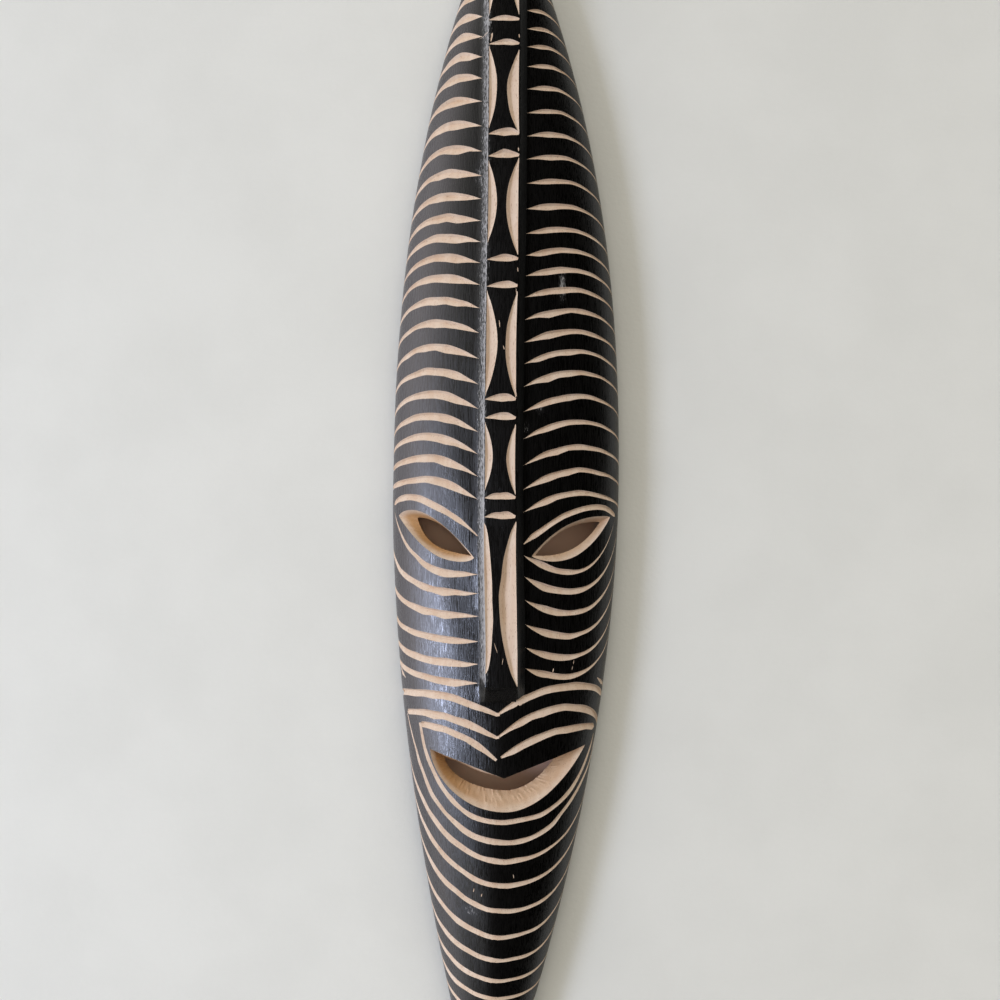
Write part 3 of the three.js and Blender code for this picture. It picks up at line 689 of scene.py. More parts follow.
# %% The stroke tree
def stroke_tree():
    """Sweeps each path, then puts each point in its place across the path and out of the wood."""
    tree, given, result = group("Gouge Strokes", "GeometryNodeTree", [
        ("Geometry", "NodeSocketGeometry", "in", None),
        ("Depth Share", "NodeSocketFloat", "in", 0.68),
        ("Keel Shift", "NodeSocketFloat", "in", 0.42),
        ("Above Skin", "NodeSocketFloat", "in", 0.35),
        ("Push", "NodeSocketFloat", "in", 0.0095),
        ("Unevenness", "NodeSocketFloat", "in", 0.2),
        ("Edge Bias", "NodeSocketFloat", "in", 0.45),
        ("Sway", "NodeSocketFloat", "in", 0.0004),
        ("Seed", "NodeSocketInt", "in", 1),
        ("Wood", "NodeSocketMaterial", "in", None),
        ("Geometry", "NodeSocketGeometry", "out", None),
    ])
    swept = swept_profile(tree, given["Geometry"], given["Above Skin"])
    stroke, half, side, level = [read(tree, name) for name in ("stroke", "half", "side", "level")]
    across = across_path(tree, given, stroke, half, side, level)
    outward = out_of_wood(tree, given, stroke, half, level)
    place = moved(tree, read(tree, "rail", "FLOAT_VECTOR"), read(tree, "across", "FLOAT_VECTOR"), across)
    place = moved(tree, place, read(tree, "outward", "FLOAT_VECTOR"), outward)
    shaped = put(tree, "GeometryNodeSetPosition", {"Geometry": swept, "Position": place}).outputs[0]
    real = put(tree, "GeometryNodeRealizeInstances", {"Geometry": shaped}).outputs[0]
    finished = put(tree, "GeometryNodeSetMaterial", {"Geometry": real, "Material": given["Wood"]})
    tree.links.new(finished.outputs[0], result["Geometry"])
    return tree


gouge = stroke_tree()
print("stroke tree has", len(gouge.nodes), "nodes")

# %% [markdown]
# ## Where the strokes run
# On the real mask the strokes are rows: arches over the forehead, a brow over each eye, hanging rows on
# the cheeks, chevrons over the mouth, and hanging curves down to the chin. Each row is a height for
# every angle round the face, written with a few sizes, and its pitch drifts a little because the carver
# worked by eye. A path starts at the foot of the crest and runs out over the rim, and a row that
# crosses the keel is one path. Each row also has its own swell. On the left the carver dug in at once
# and kept the cut wide. On the right the gouge came out of the wood early, so those rows thin out
# towards the rim.

# %% Columns and swells
FOOT_COLUMN, RIM_COLUMN = 2, 10
THINNEST = 0.05


def column_turn(column, y):
    """The angle of a column: 1 at the crest's edge, 2 at its foot, 10 on the rim, and minus on the left."""
    side, step = math.copysign(1, column), abs(column)
    width = max(float(half_width(y)), LEAST_WIDTH)
    if step <= 1:
        return side * math.asin(min(1, float(crest_half(y)) / width)) * step
    foot = math.asin(min(1, (float(crest_foot(y)) + side * float(crest_lean(y))) / width))
    return side * (foot + (step - FOOT_COLUMN) / (RIM_COLUMN - FOOT_COLUMN) * (QUARTER - foot))


def swelling(share, peak, tail, fade, begin=0.0, blunt=0.0):
    """The width along a stroke: a quick rise to the peak and a slow fall to the tail, or to a blunt end."""
    rise = begin + (1 - begin) * np.sin(QUARTER * np.clip(share / peak, 0, 1))
    past = np.clip((share - peak) / (1 - peak), 0, 1)
    fall = tail + (1 - tail) * (1 - past) ** fade
    end = np.sqrt(np.clip((1 - share) / blunt, 0, 1)) if blunt else 1
    return np.maximum(rise * fall * end, THINNEST)


def shares(length, step, fewest):
    """Even places along a stroke, from 0 to 1."""
    return np.linspace(0, 1, max(fewest, int(length / step)))


print("widths along a stroke:", swelling(np.linspace(0, 1, 5), peak=0.3, tail=0.5, fade=1).round(2))

# %% Paths on the skin
Stroke = namedtuple("Stroke", "points outward across halves")
PATH_STEP, FEWEST_POINTS, ROUGH_POINTS = 2.0, 8, 24
ROUNDS, LAST_END = 9, 490
RIM_RUN = [(6.6, 1), (5.2, 0.8), (3.9, 0.45), (3.2, 0.15)]  # a height on the rim, and the width left there


def end_turn(path, column):
    """Where a path meets a column. Each one's place depends on the other's, so a few rounds settle both."""
    turn = column_turn(column, 0)
    for _ in range(ROUNDS):
        y = min(max(float(path(turn)), -LAST_END), LAST_END)
        turn = column_turn(column, y)
    return turn


def laid(turns, y):
    """Points on the sanded skin, with the directions out of the wood and to the right of the travel."""
    points, outward = sanded(turns, y), skin_normal(turns, y)
    return points, outward, unit(np.cross(np.gradient(points, axis=0), outward))


def over_the_rim(stroke, at_end, sign):
    """The stroke, carried on down the upright rim at its first point or its last."""
    down = np.repeat(stroke.points[[at_end]], len(RIM_RUN), axis=0)
    down[:, 2] = [z for z, _ in RIM_RUN]
    halves = stroke.halves[at_end] * np.array([share for _, share in RIM_RUN])
    outward, across = [np.tile(way, (len(RIM_RUN), 1)) for way in ([sign, 0.0, 0.0], [0.0, 1.0, 0.0])]
    more = (down, outward, across, halves)
    if at_end == 0:
        return Stroke(*[np.concatenate([new[::-1], old]) for old, new in zip(stroke, more)])
    return Stroke(*[np.concatenate([old, new]) for old, new in zip(stroke, more)])


def skin_stroke(path, start, end, half, swell):
    """A stroke from one column to another, whose swell is a set of values for the function above."""
    first, last = end_turn(path, start), end_turn(path, end)
    rough = np.linspace(first, last, ROUGH_POINTS)
    length = np.linalg.norm(np.diff(skin(rough, path(rough)), axis=0), axis=1).sum()
    share = shares(length, PATH_STEP, FEWEST_POINTS)
    turns = first + (last - first) * share
    points, outward, across = laid(turns, path(turns))
    if across[len(across) // 2, 1] < 0:
        across = -across
    stroke = Stroke(points, outward, across, half * swelling(share, **swell) * np.abs(across[:, 1]))
    for at_end, column in ((0, start), (-1, end)):
        if abs(column) == RIM_COLUMN:
            stroke = over_the_rim(stroke, at_end, math.copysign(1, column))
    return stroke


# %% Rows on the forehead
SIDES = {"left": -1, "right": 1}
FOREHEAD = {
    "left": {
        "first": 408.2, "pitch": 17.59, "drifts": [(2.36, 9, -1.48), (1.61, 16.9, 1.21)],
        "from": -4, "outer_drop": 20, "brow_drop": 8,
        "halves": (4.0, 3.6), "peaks": (0.34, 0.23), "tails": (0.35, 0.5), "fade": 1.3,
    },
    "right": {
        "first": 397.1, "pitch": 17.24, "drifts": [(-4.03, 12.75, 2.84), (0.91, 4.9, -1.89)],
        "from": -5, "outer_drop": 17, "brow_drop": 12,
        "halves": (1.9, 2.95), "peaks": (0.22, 0.17), "tails": (0.22, 0.35), "fade": 1.7,
    },
}
LAST_FOREHEAD_ROW = 22
CROWN_TO_BROW = (370, 150)
ARCH_PEAK, ARCH_SPREAD, ARCH_FALL = 0.75, 0.45, 1.5
ARCH_CROWN_RISE, ARCH_BROW_RISE = 3, 10
ARCH_TOP, ARCH_BOTTOM, BROW_FROM = 260, 20, 90
LEAST_ARCH = 0.25


def forehead_rows(side):
    """Arches from the foot of the crest to the rim, flatter where the leaf is narrow."""
    sizes, sign = FOREHEAD[side], SIDES[side]
    for k in range(sizes["from"], LAST_FOREHEAD_ROW + 1):
        drift = sum(rise * math.sin(math.tau * k / rows + start) for rise, rows, start in sizes["drifts"])
        peak = sizes["first"] - sizes["pitch"] * k + drift
        near_eyes = smooth_step(ARCH_TOP - peak, 0, ARCH_TOP - ARCH_BOTTOM)
        near_brow = smooth_step(BROW_FROM - peak, 0, BROW_FROM - ARCH_BOTTOM)
        inner = mix(ARCH_CROWN_RISE, ARCH_BROW_RISE, near_eyes)
        outer = mix(sizes["outer_drop"], sizes["brow_drop"], near_brow)
        size = min(1, float(half_width(peak)) / (WIDTH / 2) + LEAST_ARCH)
        down = smooth_step(peak, *CROWN_TO_BROW)
        half = mix(*sizes["halves"], down)
        tail = mix(*sizes["tails"], near_brow)
        swell = {"peak": mix(*sizes["peaks"], down), "tail": tail, "fade": sizes["fade"]}

        def path(turn, peak=peak, inner=inner, outer=outer, size=size):
            off = np.abs(turn) - ARCH_PEAK
            inside = inner * (off / ARCH_SPREAD) ** 2
            outside = outer * (np.clip(off, 0, None) / (QUARTER - ARCH_PEAK)) ** ARCH_FALL
            return peak - size * np.where(off < 0, inside, outside)

        yield skin_stroke(path, sign * FOOT_COLUMN, sign * RIM_COLUMN, half, swell)


rows = {side: [*forehead_rows(side)] for side in SIDES}
print("rows on the forehead:", {side: len(strokes) for side, strokes in rows.items()})

# %% Brows and cheeks
BROWS = {
    "left": {"peak": 10, "drop": 21, "at": 0.97, "spread": 0.65, "half": 3.1},
    "right": {"peak": 4.3, "drop": 19.1, "at": 0.95, "spread": 0.61, "half": 2.75},
}
BROW_SWELLS = {
    "left": {"peak": 0.3, "tail": 0.6, "fade": 0.8, "begin": 0.25, "blunt": 0.03},
    "right": {"peak": 0.1, "tail": 0.7, "fade": 0.7, "begin": 0.2, "blunt": 0.04},
}
BROW_END = 8.6
CHEEKS = {
    "left": {
        "first": -49.3, "pitch": 16.8, "drift": 2.2, "low": 0.38, "half": 3.2,
        "lift": 10, "lift_step": 0, "eye_lift": 44,
    },
    "right": {
        "first": -46.4, "pitch": 16.3, "drift": 1.2, "low": 0.65, "half": 3.0,
        "lift": 62, "lift_step": 3.5, "eye_lift": 29,
    },
}
CHEEK_SWELLS = {
    "left": {"peak": 0.25, "tail": 0.7, "fade": 1},
    "right": {"peak": 0.15, "tail": 0.14, "fade": 1.25},
}
CHEEK_ROWS = 6
FIRST_CHEEK_END, FIRST_CHEEK_BLUNT = 8.5, 0.1
FIRST_CHEEK_TAILS = {"left": 0.45, "right": 0.12}


def brow_row(side):
    sizes, sign = BROWS[side], SIDES[side]

    def path(turn):
        return sizes["peak"] - sizes["drop"] * ((np.abs(turn) - sizes["at"]) / sizes["spread"]) ** 2

    return skin_stroke(path, sign * FOOT_COLUMN, sign * BROW_END, sizes["half"], BROW_SWELLS[side])


def cheek_rows(side):
    """Hanging rows. The first stops under the eye, and the next ones bend round it less and less."""
    sizes, sign = CHEEKS[side], SIDES[side]
    for k in range(CHEEK_ROWS):
        drift = sizes["drift"] * math.sin(math.tau * k / (CHEEK_ROWS - 1))
        lowest = sizes["first"] - sizes["pitch"] * k + drift
        rise = sizes["lift"] - sizes["lift_step"] * k
        eye_rise = sizes["eye_lift"] * math.exp(-k)

        def path(turn, lowest=lowest, rise=rise, eye_rise=eye_rise):
            off = np.abs(turn) - sizes["low"]
            return lowest + rise * off**2 + eye_rise * np.clip(off, 0, None) ** 2

        swell, outer = CHEEK_SWELLS[side], RIM_COLUMN
        if k == 0:
            swell = {**swell, "tail": FIRST_CHEEK_TAILS[side], "blunt": FIRST_CHEEK_BLUNT}
            outer = FIRST_CHEEK_END
        yield skin_stroke(path, sign * FOOT_COLUMN, sign * outer, sizes["half"], swell)


for side in SIDES:
    rows[side] += [brow_row(side), *cheek_rows(side)]
print("rows with brows and cheeks:", {side: len(strokes) for side, strokes in rows.items()})

# %% [markdown]
# The chevrons over the mouth are two strokes each, one from either side. They thin towards the keel,
# where the first two pairs meet in a point and the third pair stops just short of it.

# %% Chevrons over the mouth
LIP_MIDDLES, LIP_GAPS = (-157, -175, -192), (0, 0, 0.13)
LIPS = {  # for each row: the height of its peak, the angle there, and the column where it ends
    "left": [(-144, 0.8, -10), (-159.8, 0.8, -8.1), (-169.2, 0.8, -6.3)],
    "right": [(-135.6, 0.75, 9.5), (-152.3, 0.7, 9.9), (-168.4, 0.95, 8.5)],
}
LIP_OUTER_DROPS = {"left": 0.4, "right": 0.5}
LIP_HALF = 3.35
LIP_MEET = 0.13
LIP_SWELLS = {
    "left": {"peak": 0.3, "tail": 0.75, "fade": 1, "begin": 0.4, "blunt": 0.04},
    "right": {"peak": 0.2, "tail": 0.8, "fade": 1, "begin": 0.4, "blunt": 0.05},
}


def lip_rows(side):
    for lowest, gap, (peak, peak_at, outer) in zip(LIP_MIDDLES, LIP_GAPS, LIPS[side]):

        def path(turn, lowest=lowest, peak=peak, peak_at=peak_at):
            off = (np.abs(turn) - peak_at) / peak_at
            return peak - (peak - lowest) * off**2 * np.where(off > 0, LIP_OUTER_DROPS[side], 1)

        swell = LIP_SWELLS[side]
        if abs(outer) == RIM_COLUMN:
            swell = {**swell, "blunt": 0}
        yield skin_stroke(path, LIP_MEET + SIDES[side] * gap, outer, LIP_HALF, swell)


for side in SIDES:
    rows[side] += lip_rows(side)
print("rows with chevrons:", {side: len(strokes) for side, strokes in rows.items()})

# %% [markdown]
# The rows of the chin cross the keel. The two topmost turn up round both corners of the mouth. They are
# free curves, so each is given by a few marks, joined by a smooth line.

# %% Hanging rows of the chin
CHIN_ROWS = 14
CHIN = {"first": -240.4, "pitch": 17.7, "drift": 4.3, "drift_rows": 8, "reach": 1.2, "half": 3.5}
CHIN_LEAN, CHIN_MOST_LEAN, CHIN_LEAST_SIZE = 0.05, 0.2, 0.35
CHIN_LEFT = {"lift": 66, "fade_rows": 5, "power": 2}
CHIN_RIGHT = {"lift": 30, "least": 4, "last_row": 6, "power": 2.3}
CHIN_SWELL = {"peak": 0.2, "tail": 0.3, "fade": 1.3, "begin": 0.4}
MOUTH_ROWS = [  # marks: an angle, a height, and the half-width there
    [
        (-0.94, -168, 1.2), (-0.89, -188, 1.7), (-0.74, -209, 1.9), (-0.53, -226, 2.1),
        (-0.27, -236.5, 2.2), (0.06, -241, 2.3), (0.54, -236, 2.1), (0.88, -223, 1.9),
        (1.12, -206, 1.6), (1.3, -187, 1.2), (1.36, -176, 0.4),
    ],
    [
        (-1.25, -163, 0.5), (-1.11, -187, 1.3), (-0.96, -210, 1.8), (-0.76, -230, 2.1),
        (-0.49, -244.5, 2.3), (-0.18, -254, 2.4), (0.25, -256.5, 2.2), (0.64, -248, 1.9),
        (0.95, -231, 1.6), (1.21, -212, 1.3), (1.41, -197, 1.1), (1.52, -180, 0.4),
    ],
]


def chin_rows():
    """From rim to rim. The left ends rise less row by row, and the right ones drop near the sixth."""
    for k in range(len(MOUTH_ROWS), CHIN_ROWS):
        drift = CHIN["drift"] * math.sin(math.tau * k / CHIN["drift_rows"])
        lowest = CHIN["first"] - CHIN["pitch"] * k + drift
        lean = min(CHIN_MOST_LEAN, CHIN_LEAN * k)
        left_lift = CHIN_LEFT["lift"] * math.exp(-k / CHIN_LEFT["fade_rows"])
        right_lift = CHIN_RIGHT["least"] + CHIN_RIGHT["lift"] / (1 + math.exp(k - CHIN_RIGHT["last_row"]))

        def path(turn, lowest=lowest, lean=lean, left_lift=left_lift, right_lift=right_lift):
            off = (np.asarray(turn) - lean) / CHIN["reach"]
            left = left_lift * np.clip(-off, 0, None) ** CHIN_LEFT["power"]
            return lowest + left + right_lift * np.clip(off, 0, None) ** CHIN_RIGHT["power"]

        size = min(1, float(half_width(lowest)) / (WIDTH / 2) + CHIN_LEAST_SIZE)
        yield skin_stroke(path, -RIM_COLUMN, RIM_COLUMN, CHIN["half"] * size, CHIN_SWELL)


def through(marks, steps=6):
    """A smooth line through a few marks, with some steps from each to the next."""
    marks = np.array(marks, float)
    slopes = np.gradient(marks, axis=0)
    place = np.linspace(0, len(marks) - 1, (len(marks) - 1) * steps + 1)
    before = np.minimum(place.astype(int), len(marks) - 2)
    t = (place - before)[:, None]
    early, late = 1 + 2 * t, 3 - 2 * t
    ends = early * (1 - t) ** 2 * marks[before] + late * t**2 * marks[before + 1]
    return (ends + t * (1 - t) ** 2 * slopes[before] - (1 - t) * t**2 * slopes[before + 1]).T


def traced(marks):
    """A stroke along a line through marks. Its keel is nearer to the left of the travel."""
    turns, y, halves = through(marks)
    points, outward, across = laid(turns, y)
    return Stroke(points, outward, -across, halves)


chin = [*chin_rows(), *[traced(marks) for marks in MOUTH_ROWS]]
print("rows on the chin:", len(chin))

# %% [markdown]
# The crest is cut into panels: a short bar, two long lenses and a short bar, from the crown down to the
# nose. A lens keeps one edge straight along the crest and bulges towards the middle, so only its middle
# line and its half-width change along the way. A bar has a straight foot and a rounded top, and it ends
# more bluntly on the right, where the gouge was lifted out.

# %% Panels on the crest
BARS = [  # the height of each on the crest, and its own height
    (470, 4.2), (384.9, 4.8), (365.3, 5.2), (293.4, 6.2), (276, 6.8), (195, 6.2),
    (174.1, 5.6), (87.4, 6.2), (72.9, 5.8), (11.8, 6.2), (-2.7, 6.2),
]
BAR_PEAK, BAR_LEFT_END, BAR_RIGHT_END = 0.6, 0.1, 0.35
BAR_BULGE, BAR_POINTS = 0.6, 17
LENSES = {  # the top, the bottom and the width of each
    "left": [
        (468, 388, 5.6), (362.2, 296.5, 6.5), (270.6, 206.5, 6.9),
        (169.6, 88.5, 9.2), (68.3, 16.1, 6.2), (-9.2, -124.3, 6.6),
    ],
    "right": [
        (468, 388, 7.5), (359.1, 291.9, 9.6), (272.9, 197.3, 10),
        (168.8, 87.5, 8.8), (66.8, 13, 6.9), (-7.7, -133.5, 13.8),
    ],
}
LENS_FULLNESS, NOSE_FULLNESS = 0.9, {"left": 0.42, "right": 0.72}
CREST_MARGIN, NOSE_MARGIN = 0.9, 0.2
LENS_STEP, FEWEST_LENS_POINTS = 2.5, 12


def plan_stroke(x, y, halves):
    """A stroke through places that are given as seen from the front."""
    return Stroke(*laid(turn_at(x, y), y), halves)


def bar_stroke(y, height):
    share = np.linspace(0, 1, BAR_POINTS)
    reach = float(crest_half(y)) - CREST_MARGIN
    x = float(middle(y) + crest_lean(y)) + mix(-reach, reach, share)
    left = mix(BAR_LEFT_END, 1, np.sin(QUARTER * np.clip(share / BAR_PEAK, 0, 1)))
    right = mix(1, BAR_RIGHT_END, np.clip((share - BAR_PEAK) / (1 - BAR_PEAK), 0, 1) ** 2)
    halves = height / 2 * left * right
    centre_line = y + BAR_BULGE * (halves - height / 2)
    stroke = plan_stroke(x, centre_line, halves)
    return stroke._replace(across=-stroke.across)


def lens_stroke(side, top, bottom, width, fullness, margin):
    share = shares(top - bottom, LENS_STEP, FEWEST_LENS_POINTS)
    y = mix(bottom, top, share)
    halves = width / 2 * np.maximum(np.sin(math.pi * share) ** fullness, THINNEST)
    x = middle(y) + crest_lean(y) + SIDES[side] * (crest_half(y) - margin - halves)
    return plan_stroke(x, y, halves)


def crest_lenses(side):
    """The lenses of one side, of which the last lies on the nose and is fuller."""
    *upper, nose = LENSES[side]
    for lens in upper:
        yield lens_stroke(side, *lens, LENS_FULLNESS, CREST_MARGIN)
    yield lens_stroke(side, *nose, NOSE_FULLNESS[side], NOSE_MARGIN)


bars = [bar_stroke(*bar) for bar in BARS]
lenses = {side: [*crest_lenses(side)] for side in SIDES}
print("bars on the crest:", len(bars), "and lenses:", sum(len(strokes) for strokes in lenses.values()))

# %% [markdown]
# A used mask has small marks of its own. Pale scratches and nicks go through the paint, and the fine
# cracks are old enough to have been painted over, so their cutter carries the paint's number and they
# stay black.

# %% Scratches, nicks and cracks
SCRATCHES = [  # where each begins and ends, and its half-width
    [(-31.9, 372.6), (-25.3, 373.5), 0.5],
    [(-24, 371), (-16.4, 374.2), 0.35],
    [(-14.6, 366), (-13.4, 373), 0.9],
    [(-3.8, 146.5), (-3.2, 141), 0.35],
    [(-0.4, 127.2), (0.5, 124), 0.4],
    [(9.4, 93), (10.6, 88), 0.4],
    [(8.8, 171.3), (9.3, 166), 0.4],
    [(7.4, 372), (7.6, 369), 0.6],
    [(8.6, 281), (8.9, 278), 0.55],
    [(9.6, 187.5), (10, 184), 0.5],
    [(-3.6, -100.6), (-1.2, -108), 0.3],
    [(3.3, -112), (2.6, -117), 0.28],
    [(57.4, -115.2), (57, -118.4), 0.42],
    [(56.4, -120), (56, -123), 0.38],
    [(41.6, -121), (40.9, -124), 0.5],
    [(-17.7, -294), (-18.4, -297), 0.5],
    [(-11.3, -297.5), (-11.9, -300), 0.45],
    [(12.6, -282), (13.2, -285), 0.45],
]
NICKS = [
    [(-1.37, -126.6, 0.5), (-1.314, -130, 1.6), (-1.199, -134, 0.3)],
    [(1.2, -130.6, 0.3), (1.353, -134.4, 1.5), (1.52, -138.4, 0.8)],
]
CRACKS = [
    [(-24.3, -1), (-24.6, -38), 0.3],
    [(-23.6, -148), (-22.6, -172), 0.5],
    [(-21.8, -176), (-21.3, -190), 0.35],
    [(0.2, -162), (0.5, -171), 0.3],
    [(-10, -137.5), (14, -136), 0.4],
    [(-9.8, -149.5), (14.2, -143), 0.35],
]
FEWEST_MARK_POINTS, MARK_END = 5, 0.1


def mark_stroke(start, end, half):
    """A short straight mark, widest in its middle."""
    share = shares(math.dist(start, end), PATH_STEP, FEWEST_MARK_POINTS)
    x, y = [mix(*ends, share) for ends in zip(start, end)]
    return plan_stroke(x, y, half * np.maximum(np.sin(math.pi * share), MARK_END) ** 0.5)


scratches, cracks = [[mark_stroke(*mark) for mark in marks] for marks in (SCRATCHES, CRACKS)]
nicks = [traced(marks) for marks in NICKS]
print("scratches:", len(scratches), "nicks:", len(nicks), "cracks:", len(cracks))

# %% [markdown]
# ## Sweeping and cutting
# Strokes that touch each other go into different cutters, because a clean Boolean wants a cutter that
# doesn't pass through itself. Each cutter is evaluated once and made a plain mesh, and its modifier
# goes with the source.

# %% Sweep the cutters
LENS_SIZES = {"Depth Share": 0.5, "Keel Shift": -0.5, "Push": 0.014, "Unevenness": 0.06, "Sway": 0.0}
FINE_SIZES = {
    "Depth Share": 0.8, "Keel Shift": 0.0, "Above Skin": 0.8, "Push": 0.003, "Unevenness": 0.4, "Sway": 0.0,
}
GROUPS = {
    "left_rows": (rows["left"], {"Seed": 1}),
    "right_rows": (rows["right"], {"Seed": 2}),
    "chin_rows": (chin, {"Seed": 3}),
    "crest_bars": (bars, {"Seed": 5, "Push": 0.006, "Edge Bias": -0.5}),
    "left_lenses": (lenses["left"], {**LENS_SIZES, "Seed": 6, "Edge Bias": -0.8}),
    "right_lenses": (lenses["right"], {**LENS_SIZES, "Seed": 7, "Edge Bias": 0.8}),
    "scratches": (scratches, {**FINE_SIZES, "Seed": 8}),
    "nicks": (nicks, {**FINE_SIZES, "Seed": 9, "Depth Share": 0.5}),
    "cracks": (cracks, {**FINE_SIZES, "Seed": 10, "Depth Share": 1.5}),
}
PAINTED_GROUPS = {"cracks"}
CUTTER_WELD = 1e-5


def set_inputs(modifier, values):
    """Sets a modifier's inputs by their identifiers, looked up from their names."""
    for item in modifier.node_group.interface.items_tree:
        if item.in_out == "INPUT" and item.name in values:
            modifier[item.identifier] = values[item.name]


def path_object(name, strokes):
    """One object of bare edges, a chain for each stroke, with the attributes that the tree reads."""
    counts = [len(stroke.points) for stroke in strokes]
    starts = np.cumsum([0, *counts[:-1]])
    edges = [(start + i, start + i + 1) for start, count in zip(starts, counts) for i in range(count - 1)]
    joined = Stroke(*[np.concatenate(parts) for parts in zip(*strokes)])
    mesh = bpy.data.meshes.new(name)
    mesh.from_pydata((joined.points * MM).tolist(), edges, [])
    stored = {
        "outward": joined.outward,
        "across": joined.across,
        "half": joined.halves * MM,
        "stroke": np.repeat(np.arange(len(strokes), dtype=float), counts),
    }
    for label, values in stored.items():
        kind, field = ("FLOAT_VECTOR", "vector") if values.ndim == 2 else ("FLOAT", "value")
        mesh.attributes.new(label, kind, "POINT").data.foreach_set(field, values.ravel())
    return linked(name, mesh)


def plain_copy(source, name):
    """The source with its modifiers applied, as a new plain object, and the source is removed."""
    bpy.context.view_layer.update()
    evaluated = source.evaluated_get(bpy.context.evaluated_depsgraph_get())
    made = linked(name, bpy.data.meshes.new_from_object(evaluated))
    bpy.data.objects.remove(source)
    return made


def sweep(name, strokes, sizes, wood):
    paths = path_object(name + "_paths", strokes)
    modifier = paths.modifiers.new("gouge", "NODES")
    modifier.node_group = gouge
    set_inputs(modifier, {**sizes, "Wood": wood})
    cutter = plain_copy(paths, name)
    cutter.data.materials.clear()
    number = PAINT if name in PAINTED_GROUPS else CUT_WOOD
    cutter.data.polygons.foreach_set("material_index", [number] * len(cutter.data.polygons))
    return close_up(cutter, weld=CUTTER_WELD)


black_paint = bpy.data.materials.new("black paint over wood")
cut_wood = bpy.data.materials.new("fresh cut wood")
raw_wood = bpy.data.materials.new("raw wood of the back")
FINISHES = [black_paint, cut_wood, raw_wood]
cutters += [sweep(name, strokes, sizes, cut_wood) for name, (strokes, sizes) in GROUPS.items()]

# %% [markdown]
# Where two cuts meet, a splinter thinner than a hair can be left between them, joined to nothing. The
# mask is one piece, so whatever isn't joined to the crown is dropped.

# %% Carve the blank
SHARP_ANGLE = math.radians(17)


def drop_splinters(mesh):
    """Deletes every point that no chain of edges joins to the crown."""
    shape = bmesh.new()
    shape.from_mesh(mesh)
    crown = max(shape.verts, key=lambda point: point.co.y)
    joined, waiting = {crown}, [crown]
    while waiting:
        point = waiting.pop()
        beside = [edge.other_vert(point) for edge in point.link_edges]
        fresh = [other for other in beside if other not in joined]
        joined.update(fresh)
        waiting += fresh
    splinters = [point for point in shape.verts if point not in joined]
    bmesh.ops.delete(shape, geom=splinters, context="VERTS")
    print("points of loose splinters dropped:", len(splinters), "and open edges", count_open(shape))
    shape.to_mesh(mesh)
    shape.free()


def carve(blank, cutters):
    for piece in (blank, *cutters):
        numbers = np.zeros(len(piece.data.polygons), np.int32)
        piece.data.polygons.foreach_get("material_index", numbers)
        piece.data.materials.clear()
        for finish in FINISHES:
            piece.data.materials.append(finish)
        piece.data.polygons.foreach_set("material_index", numbers)
    for cutter in cutters:
        cut = blank.modifiers.new(cutter.name, "BOOLEAN")
        cut.operation = "DIFFERENCE"
        cut.solver = "MANIFOLD"
        cut.object = cutter
    mask = plain_copy(blank, "carved_mask")
    for cutter in cutters:
        bpy.data.objects.remove(cutter)
    drop_splinters(mask.data)
    mask.data.polygons.foreach_set("use_smooth", [True] * len(mask.data.polygons))
    mask.data.set_sharp_from_angle(angle=SHARP_ANGLE)
    return mask


mask = carve(blank, cutters)
mask.data.calc_loop_triangles()
print("carved mask has", len(mask.data.loop_triangles), "triangles, and its finishes cover",
      np.bincount([face.material_index for face in mask.data.polygons]), "faces")

# %% [markdown]
# ## Wear and painted light, stored on the mesh
# Handling has rubbed the paint from the left flank of the crest and left a few scuffs beside it, while
# the right flank is sheltered and less glossy. A painted sheen greys the paint on the slope towards the
# left rim, the window's side, and painted shade browns the wood where the openings go deep, most of all
# on the left, where their walls face away from the window. All four follow the shape, so they are worked
# out from the same functions and stored on the points, and the materials break them up with fine noise.

# %% Where the mask is worn
FLANK_BLUR, EDGE_BLUR = 2.0, 1.2
NOSE_FADE = (NOSE_TIP - 4, NOSE_TIP + 10)
CROWN_WEAR, CROWN_WEAR_FROM, ARRIS_WEAR = 0.8, 150, 1.7
SCUFFS = [  # the middle, the half-width, the half-height and how far the paint is gone
    (44.6, 178, 3, 19, 1), (18.7, 64, 3.5, 7, 0.8), (29, 80, 5, 7, 0.5),
    (-21, 262, 5, 18, 0.6), (-17.5, 382, 4.5, 14, 0.9), (-19.4, -312, 8, 7, 0.5),
]
SCUFF_CORE = 0.3
SHELTER_BLUR = 1


def scuffs(x, y):
    rubbed = np.zeros_like(x)
    for middle_x, middle_y, across, along, share in SCUFFS:
        away = np.hypot((x - middle_x) / across, (y - middle_y) / along)
        rubbed = np.maximum(rubbed, share * smooth_step(away, 1, SCUFF_CORE))
    return rubbed


def worn_and_sheltered(x, y):
    """How far the paint is rubbed on the crest's left edge and flank, and where its right flank is."""
    off = x - middle(y)
    flank_width = crest_foot(y) - crest_half(y)
    inward = crest_half(y) - crest_lean(y) + off
    flank = smooth_step(inward, -flank_width - FLANK_BLUR, -flank_width / 2)
    flank = flank * smooth_step(inward, EDGE_BLUR, 0)
    edge = smooth_step(np.abs(inward), EDGE_BLUR, 0)
    above_nose = smooth_step(y, *NOSE_FADE)
    amount = above_nose * mix(1, CROWN_WEAR, smooth_step(y, NOSE_ROOT, CROWN_WEAR_FROM))
    worn = np.maximum(amount * np.maximum(flank, ARRIS_WEAR * edge), scuffs(x, y))
    beyond = off - crest_lean(y) - crest_half(y)
    right_flank = smooth_step(beyond, 0, SHELTER_BLUR)
    right_flank = right_flank * smooth_step(beyond, flank_width + FLANK_BLUR, flank_width)
    return worn, right_flank * above_nose
